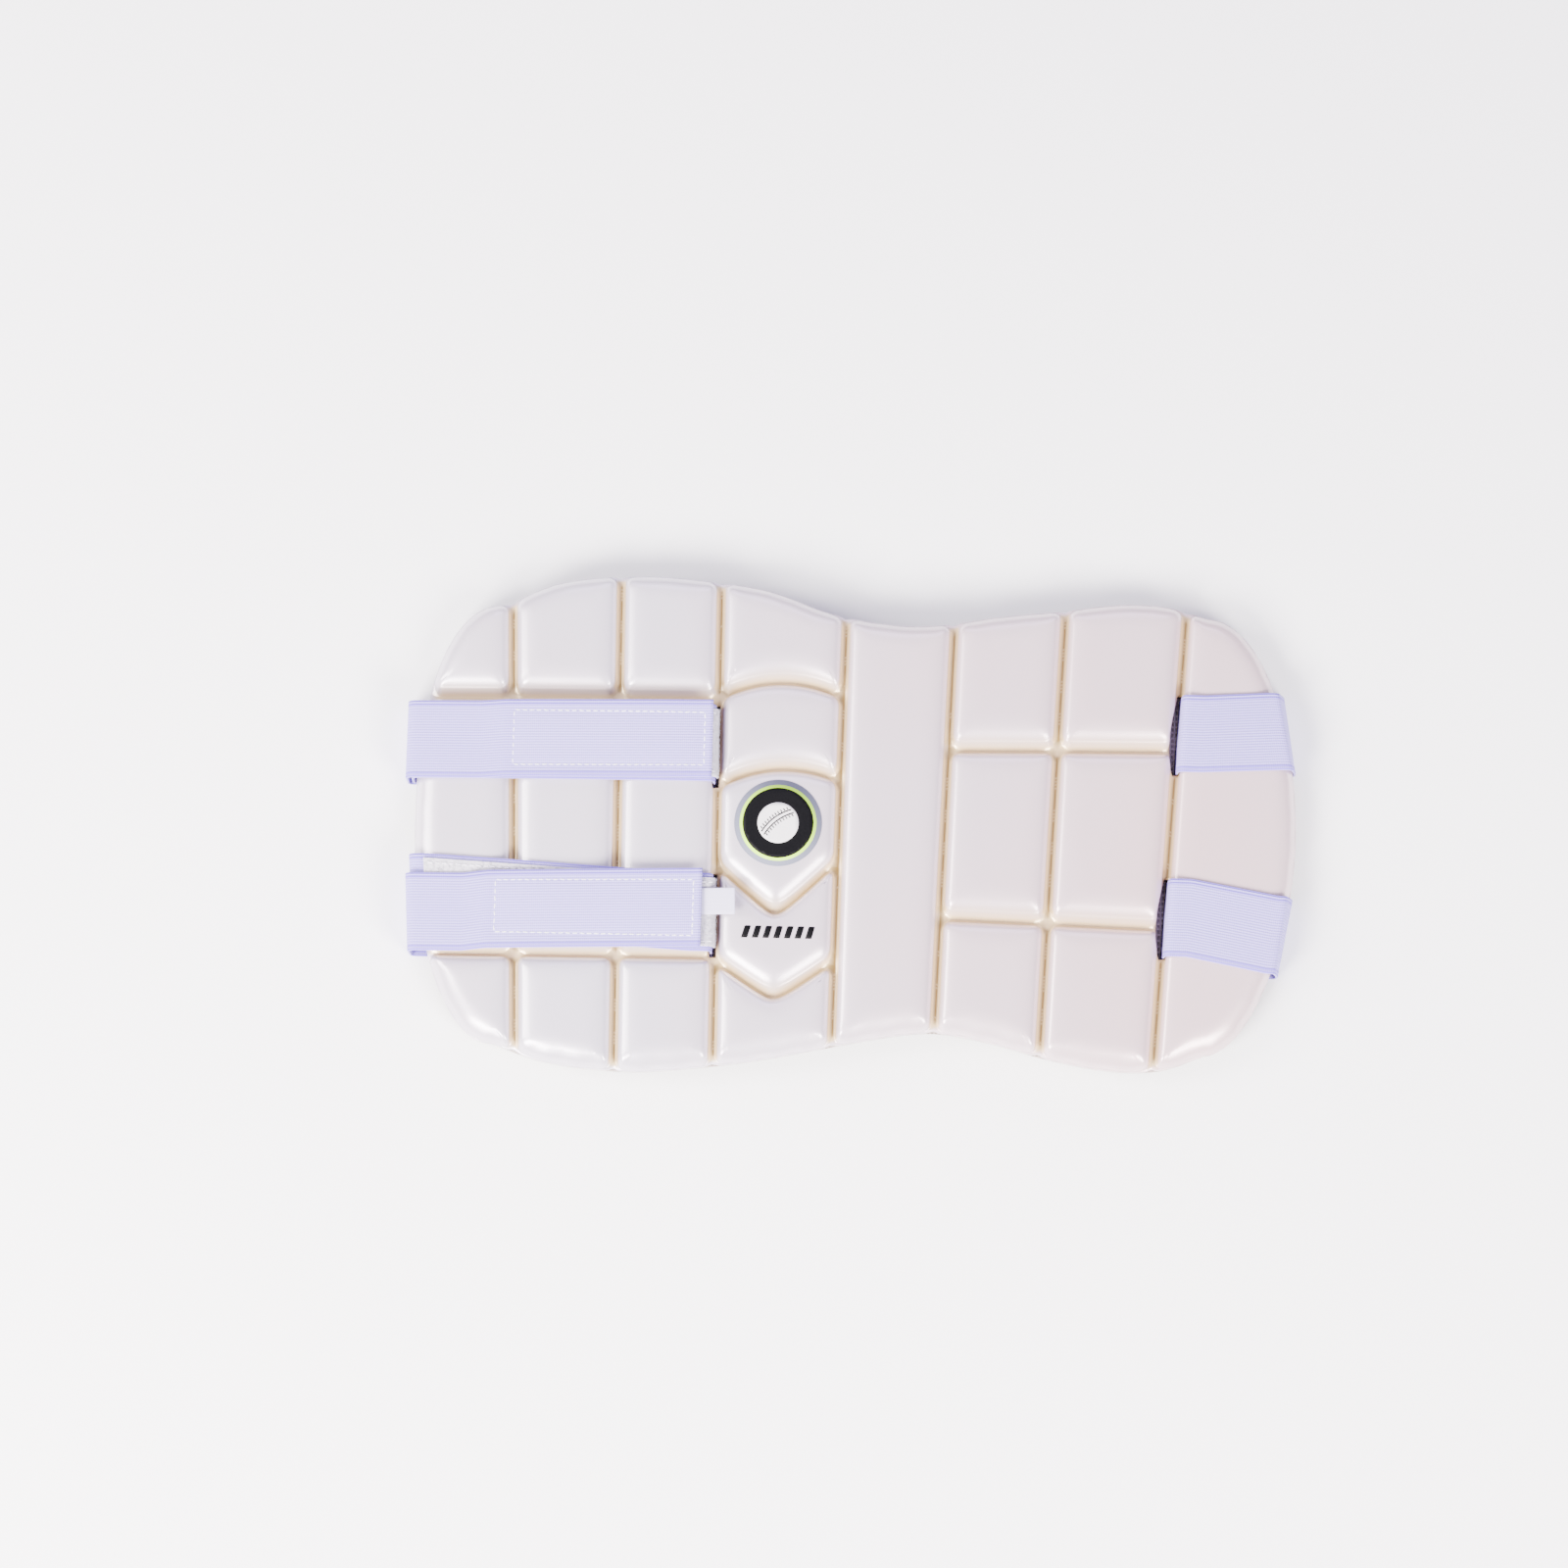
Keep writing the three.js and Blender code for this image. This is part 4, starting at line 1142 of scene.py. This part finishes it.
# The free front end: sunk along the stitches, raised at the turned hem, slack and gently wavy elsewhere
hemLook = {
    "length": 4.2, "rise": 0.35, "softMm": 0.35, "lead": 12.0, "looseMm": 20.0, "waveMm": 0.22,
    # two crossing waves: length along and across for a radian, and where each starts
    "waves": [(17, 9, 0), (41, -13, 1)],
}


def frontWaves(name):
    look, run, corners = hemLook, longRuns[name], boxCorners(name)
    length, frontFrom = run[-1, 4], alongAt(run, longStraps[name]["leftFold"][0] + look["lead"])

    def lift(along, across):
        loose = np.clip((along - frontFrom) / look["looseMm"], 0, 1)
        places = np.stack(np.broadcast_arrays(along, across), -1)
        apart = loopDistance(places.reshape(-1, 2), np.array(corners)).reshape(places.shape[:-1])
        sunk = stitchLook["puckerMm"] * np.exp(-(apart / stitchLook["puckerRun"]) ** 2)
        hem = look["rise"] / (1 + np.exp(-(along - length + look["length"]) / look["softMm"]))
        first, second = (np.sin(along / u + across / v + start) for u, v, start in look["waves"])
        return hem - sunk + look["waveMm"] * first * second * loose
    return lift


def insideBox(name):
    (left, high), (right, _), (_, low), _ = boxCorners(name)
    return lambda along, across: (along > left) & (along < right) & (across > low) & (across < high)


for name, run in longRuns.items():
    piece = bandObject(name + "Strap", run, strapLook, elastic, frontWaves(name), insideBox(name))
    carry(piece, "elastic", name + "_strap")
for name, run in loopRuns.items():
    piece = bandObject(name + "LoopStrap", run, strapLook, elastic)
    carry(piece, "elastic", name + "_loop_strap")
for kind, runs in (("", longRuns), ("Loop", loopRuns)):
    for name, run in runs.items():
        print(name + kind, "strap:", round(float(run[-1, 4])), "mm long")

# Pile tapes on the loop straps, turned down into the slots with them; hook patches under the front straps
pileRuns = {}
for name, run in loopRuns.items():
    rising = np.nonzero(run[:, 1] - bow(run[:, 0]) > topZ - pileLook["intoSlot"])[0][0]
    out = -(half + gap + pileLook["thickness"] / 2)
    pileRuns[name] = besideRun(run, alongAt(run, pileLook["from"]), run[rising, 4], out)
    piece = bandObject(name + "PileTape", pileRuns[name], pileLook, pile)
    carry(piece, "pile", name + "_pile_tape")
for name, run in longRuns.items():
    fromAlong, toAlong = (alongAt(run, longStraps[name][end]) for end in ("hookFrom", "hookTo"))
    out = -(half + gap + hookLook["thickness"] / 2)
    piece = bandObject(name + "HookPatch", besideRun(run, fromAlong, toAlong, out), hookLook, hook)
    carry(piece, "hook", name + "_hook_patch")
print("pile tapes and hook patches laid")

# Loose curled fibres lying on a pile tape, drawn thicker than real ones to show
fuzzLook = {
    "count": 3800, "seed": 7, "lengthMm": 1.5, "lengths": (0.7, 1.3), "rises": (0.25, 0.75),
    "bends": (-1.2, 1.2), "spread": 0.49, "sections": (0.0, 0.35, 0.7, 1.0), "arch": 0.1, "root": 0.05,
    "halfWidth": 0.09, "taper": 0.6, "ridge": 0.15,
}


def pileFuzz(name):
    look, run = fuzzLook, pileRuns[name]
    spread, count, width = np.random.default_rng(look["seed"]), look["count"], pileLook["width"]
    along = spread.uniform(run[0, 4], run[-1, 4], count)
    across = spread.uniform(-look["spread"], look["spread"], count) * width
    heading = spread.uniform(0, 2 * math.pi, count)
    length = spread.uniform(*look["lengths"], count) * look["lengthMm"]
    rise = spread.uniform(*look["rises"], count)
    bend = spread.uniform(*look["bends"], count)
    sections = []
    for t in look["sections"]:
        turned = heading + bend * t
        u = along + np.cos(turned) * length * t
        v = np.clip(across + np.sin(turned) * length * t, -width / 2, width / 2)
        h = pileLook["thickness"] / 2 + rise * math.sin(math.pi * min(1.0, t + look["arch"])) - look["root"]
        wide = look["halfWidth"] * (1 - look["taper"] * t)
        du, dv = -np.sin(turned) * wide, np.cos(turned) * wide
        for side, ridge in ((1, 0.0), (-1, 0.0), (0, look["ridge"])):   # a fibre is three-sided
            sections.append(onBand(run, np.clip(u + side * du, 0, run[-1, 4]), v + side * dv, h + ridge))
    points = np.stack(sections, 1).reshape(-1, 3)
    faces = []
    for first in range(0, len(points), len(sections)):
        for k in range(len(look["sections"]) - 1):
            faces.extend(bridged(first + 3 * k, first + 3 * k + 3, 3))
    piece = meshObject(name + "PileFuzz", points, faces, pile)
    carry(piece, "pile")


for name in pileRuns:
    pileFuzz(name)


# Rounded stitches along paths of (along, across) corners on a band, sitting proud of its outer face
def stitchObject(name, run, paths, surface, slot):
    look = stitchLook
    points, faces, first = [], [], 0
    spread = np.random.default_rng(look["seed"])
    n = look["sides"]
    around = np.radians(np.arange(0, 360, 360 / n))
    reach = np.linspace(-0.5, 0.5, look["sections"])
    swell = np.sqrt(np.clip(1 - (2 * reach) ** look["tipPower"], look["tipLeast"], 1))[:, None]
    side = np.cos(around)[None] * swell * look["widthMm"] / 2
    rise = np.sin(around)[None] * swell * look["riseMm"]
    for path in paths:
        for (u0, v0), (u1, v1) in zip(path, path[1:]):
            size = math.hypot(u1 - u0, v1 - v0)
            du, dv = (u1 - u0) / size, (v1 - v0) / size
            count = max(1, int(size / (look["lengthMm"] + look["gapMm"])))
            for k in range(count):
                tilt = reach * spread.uniform(-look["lean"], look["lean"]) * look["lengthMm"]
                t = (k + 0.5) / count + reach * look["lengthMm"] / size
                u, v = u0 + (u1 - u0) * t - dv * tilt, v0 + (v1 - v0) * t + du * tilt
                uu, vv = u[:, None] - dv * side, v[:, None] + du * side
                points.append(onBand(run, uu, vv, surface(uu, vv) + rise).reshape(-1, 3))
                for row in range(first, first + (len(reach) - 1) * n, n):
                    faces.extend(bridged(row, row + n, n))
                faces.append(tuple(range(first + n - 1, first - 1, -1)))
                first += len(reach) * n
                faces.append(tuple(range(first - n, first)))
    piece = meshObject(name, np.concatenate(points), faces, thread)
    carry(piece, slot)


for name, run in longRuns.items():
    corners, waves = boxCorners(name), frontWaves(name)
    stitchObject(
        name + "BoxStitches", run, [corners + corners[:1]],
        lambda u, v: strapLook["thickness"] / 2 + waves(u, v), "elastic")
for name, run in pileRuns.items():
    ends = (pileLook["rowFrom"], run[-1, 4] - pileLook["rowShort"])
    rows = [[(u, v) for u in ends] for v in (pileLook["rowAcross"], -pileLook["rowAcross"])]
    stitchObject(
        name + "PileStitches", run, rows,
        lambda u, v: pileLook["thickness"] / 2 + pileLook["rowLift"], "pile")
print("stitches sewn")

# The blank size tab, caught under the lower front strap's end and curling up where it is free
tabLook = {
    "fromX": -90.5, "freeX": -82.0, "toX": -64.9, "y": -48.2,
    "width": 14.5, "thickness": 0.8, "edgeRound": 0.3,
    "curl": 1.2, "curlFall": 0.35, "lean": 0.02, "skew": -0.03, "steps": 30,
}


def buildTab():
    look = tabLook
    xs = np.linspace(look["fromX"], look["toX"], look["steps"])
    free = np.clip((xs - look["freeX"]) / (look["toX"] - look["freeX"]), 0, 1)
    curl = look["curl"] * free ** 2 * (1 - look["curlFall"] * free)
    zs = onPile - half + look["thickness"] / 2 + bow(xs) + curl
    ys = look["y"] + look["lean"] * (xs - xs[0])
    run = np.column_stack([xs, zs, ys, np.full(len(xs), look["skew"]), lengths(np.column_stack([xs, zs]))])
    piece = bandObject("sizeTab", run, look, satin)
    carry(piece, "label", "size_label")


buildTab()

# Printed inks: flat, slightly satin colour with a fine screen grain, laid as thin films
inkLook = {
    "grainMm": 0.6, "depthMm": 0.02, "rough": 0.45, "shine": {"Specular IOR Level": 0.06},
    "grainLift": 1.15, "grainBase": 0.004,   # the grain's light side against its dark side
    "gridMm": 2.0, "gridMargin": 0.6, "gridFrom": 3.0, "sinkMm": 0.1,
}


def inkMaterial(name, hexColour):
    material, tree, shader, place = newMaterial(name)
    grain = addNode(tree, "ShaderNodeTexNoise", "Fac", {
        "Vector": place, "Scale": 1 / (inkLook["grainMm"] * mm)})
    shade = linear(hexColour)
    lighter = [min(1.0, inkLook["grainLift"] * c + inkLook["grainBase"]) for c in shade[:3]]
    patterned(tree, shader, inkLook, grain, shade, (*lighter, 1.0))
    return material


inks = {
    "grey": inkMaterial("silver PU ink, screen printed", "#6c6f80"),
    "lime": inkMaterial("lime PU ink, screen printed", "#b4e83c"),
    "black": inkMaterial("black PU ink, screen printed", "#050507"),
    "white": inkMaterial("white PU ink, screen printed", "#d2cfd2"),
}
foamTree = BVHTree.FromPolygons(
    [v.co for v in foamPad.data.vertices], [tuple(f.vertices) for f in foamPad.data.polygons])


# Height of the foam's skin under points of the pad
def surfaceZ(points):
    heights = []
    for x, y in points + shift[:2]:
        hit = foamTree.ray_cast(Vector((x * mm, y * mm, 1.0)), Vector((0, 0, -1)))[0]
        heights.append(hit.z / mm)
    return np.array(heights)


# Thin ink films laid on the pad: each film is an outline with holes
def inkPiece(name, films, lift, ink):
    look = inkLook
    points, faces, count = [], [], 0
    for outer, holes in films:
        small = np.ptp(outer, axis=0).min() <= look["gridFrom"]
        loose = [] if small or holes else gridInside(outer, look["gridMm"], look["gridMargin"])
        flat, sheet = filledBetween(outer, holes, loose)
        ground, size = surfaceZ(flat), len(flat)
        points += [np.column_stack([flat, ground + z]) for z in (lift, -look["sinkMm"])]
        faces.extend(tuple(int(v) + count for v in f) for f in sheet)
        first = count
        for loop in [outer, *holes]:
            faces.extend(bridged(first, first + size, len(loop), flip=True))
            first += len(loop)
        count += 2 * size
    piece = meshObject(name, np.concatenate(points), faces, ink)
    carry(piece, "foam")


# A round badge on the tall arched block: ring, line and dark field with a seamed ball
badgeLook = {
    "middle": (-42.6, -3.5), "steps": 120, "rim": 23.9, "line": 21.0, "field": 19.3, "ball": 11.2,
    "lifts": {"ring": 0.3, "line": 0.34, "field": 0.3, "ball": 0.42, "seam": 0.5},
    # the seam: two bowed lines and a row of short stitches outside each
    "seamLean": 38.0, "seamBow": 2.4, "seamEnd": 0.9, "seamSteps": 24, "seamApart": 1.1, "seamWidth": 0.75,
    "stitchEnd": 0.78, "stitchCount": 11, "stitchApart": 2.4, "stitchHalf": 0.75, "stitchWidth": 0.6,
}


def buildBadge():
    look, lifts = badgeLook, badgeLook["lifts"]
    middle = np.array(look["middle"])
    turn = np.linspace(0, 2 * math.pi, look["steps"], endpoint=False)
    circle = np.stack([np.cos(turn), np.sin(turn)], 1)
    rim, line, field, ball = (middle + look[part] * circle for part in ("rim", "line", "field", "ball"))
    lean = math.radians(look["seamLean"])
    axes = np.array([[math.cos(lean), math.sin(lean)], [-math.sin(lean), math.cos(lean)]])

    def strip(path, width):
        along = np.gradient(path, axis=0)
        side = np.stack([-along[:, 1], along[:, 0]], 1) / np.linalg.norm(along, axis=1)[:, None] * width / 2
        return middle + np.concatenate([path - side, (path + side)[::-1]]) @ axes, []

    def bowed(share):
        return look["seamBow"] * (1 - share * share)

    t = np.linspace(-look["seamEnd"], look["seamEnd"], look["seamSteps"])
    seam = []
    for apart in (-look["seamApart"], look["seamApart"]):
        seam.append(strip(np.stack([t * look["ball"], apart + bowed(t)], 1), look["seamWidth"]))
    for k in np.linspace(-look["stitchEnd"], look["stitchEnd"], look["stitchCount"]):
        for apart in (-look["stitchApart"], look["stitchApart"]):
            x, y, reach = k * look["ball"], bowed(k) + apart, look["stitchHalf"]
            seam.append(strip(np.array([[x, y - reach], [x, y + reach]]), look["stitchWidth"]))
    inkPiece("badgeRing", [(rim, [line])], lifts["ring"], inks["grey"])
    inkPiece("badgeLine", [(line, [field])], lifts["line"], inks["lime"])
    inkPiece("badgeField", [(field, [])], lifts["field"], inks["black"])
    inkPiece("badgeBall", [(ball, [])], lifts["ball"], inks["white"])
    inkPiece("badgeSeam", seam, lifts["seam"], inks["black"])


# A row of short slanted ticks on the block below the badge
tickLook = {
    "middle": (-41.2, -63.6), "count": 7, "pitch": 5.8, "width": 3.3, "height": 6.6, "slant": 1.9,
    "edgeMm": 0.8, "lift": 0.3,
}


def buildTicks():
    look = tickLook
    y, w, h, s = look["middle"][1], look["width"] / 2, look["height"] / 2, look["slant"] / 2
    films = []
    for k in range(look["count"]):
        x = look["middle"][0] + (k - (look["count"] - 1) / 2) * look["pitch"]
        tick = np.array([(x - w - s, y - h), (x + w - s, y - h), (x + w + s, y + h), (x - w + s, y + h)])
        films.append((resampled(tick, look["edgeMm"]), []))
    inkPiece("tickRow", films, look["lift"], inks["black"])


buildBadge()
buildTicks()
print("badge and ticks printed")

# White studio paper: matt, with a faint tooth
floorLook = {
    "colour": "#f6f6f8", "rough": 0.85, "shine": 0.1, "halfSize": 4.0,
    "grainPerMetre": 900.0, "depthMm": 0.02,
}


def buildFloor():
    look = floorLook
    material, tree, shader, place = newMaterial("seamless paper, matt coated")
    grain = addNode(tree, "ShaderNodeTexNoise", "Fac", {"Vector": place, "Scale": look["grainPerMetre"]})
    relief = addNode(tree, "ShaderNodeBump", "Normal", {"Height": grain, "Distance": look["depthMm"] * mm})
    setInputs(tree, shader, {
        "Base Color": linear(look["colour"]), "Roughness": look["rough"],
        "Specular IOR Level": look["shine"], "Normal": relief})
    far = look["halfSize"] / mm
    corners = np.array([(-far, -far, 0), (far, -far, 0), (far, far, 0), (-far, far, 0)]) - shift
    piece = meshObject("paperFloor", corners, [(0, 1, 2, 3)], material)


buildFloor()

# Camera: high over the front face, leaning to the waist edge; long lens, slightly rolled
cameraLook = {
    "elevation": 80.0, "roll": 1.4, "distance": 2.4, "frameWidth": 0.857, "sensorMm": 36.0, "clipEnd": 50.0,
    "target": (-39.4, 20.0), "targetZ": 25.0,   # frame centre on the pad, in millimetres
}


def buildCamera():
    look = cameraLook
    camera = bpy.data.objects.new("photoCamera", bpy.data.cameras.new("photoCamera"))
    bpy.context.scene.collection.objects.link(camera)
    tilt = math.radians(90 - look["elevation"])
    turn = Quaternion((1, 0, 0), tilt) @ Quaternion((0, 0, 1), math.radians(look["roll"]))
    origin = Vector((shift[0], shift[1], look["targetZ"])) * mm
    aim = origin + turn @ Vector((*look["target"], 0)) * mm
    camera.rotation_mode = "QUATERNION"
    camera.rotation_quaternion = turn
    camera.location = aim + turn @ Vector((0, 0, look["distance"]))
    camera.data.sensor_width = look["sensorMm"]
    camera.data.lens = look["sensorMm"] * look["distance"] / look["frameWidth"]
    camera.data.clip_end = look["clipEnd"]
    bpy.context.scene.camera = camera


buildCamera()

# Soft studio light: two boxes at the waist side, one at the left, a weak far one, and a pale room
lightLook = {
    "leftBox": {"place": (-1.25, -1.35, 1.5), "size": (1.0, 1.0), "watts": 260.0, "colour": "#fffaf4"},
    "rightBox": {"place": (1.25, -1.35, 1.5), "size": (1.0, 1.0), "watts": 170.0, "colour": "#fffaf4"},
    "sideBox": {"place": (-1.95, 0.1, 1.5), "size": (0.8, 1.3), "watts": 110.0, "colour": "#fffaf4"},
    "farBox": {"place": (0.3, 2.6, 2.0), "size": (3.0, 1.2), "watts": 60.0, "colour": "#e6deff"},
}
roomLook = {"colour": "#dcd4ff", "strength": 0.85, "aim": (0, 0, 0.02)}


def buildLights():
    for name, look in lightLook.items():
        light = bpy.data.lights.new(name + "Light", "AREA")
        light.shape = "RECTANGLE"
        light.size, light.size_y = look["size"]
        light.energy = look["watts"]
        light.color = linear(look["colour"])[:3]
        lamp = bpy.data.objects.new(name + "Light", light)
        bpy.context.scene.collection.objects.link(lamp)
        lamp.location = look["place"]
        lamp.rotation_mode = "QUATERNION"
        lamp.rotation_quaternion = (Vector(roomLook["aim"]) - lamp.location).to_track_quat("-Z", "Y")
    world = bpy.data.worlds.new("paleRoom")
    bpy.context.scene.world = world
    world.use_nodes = True
    setInputs(world.node_tree, world.node_tree.nodes["Background"], {
        "Color": linear(roomLook["colour"]), "Strength": roomLook["strength"]})


buildLights()
print("floor, camera and lights placed")
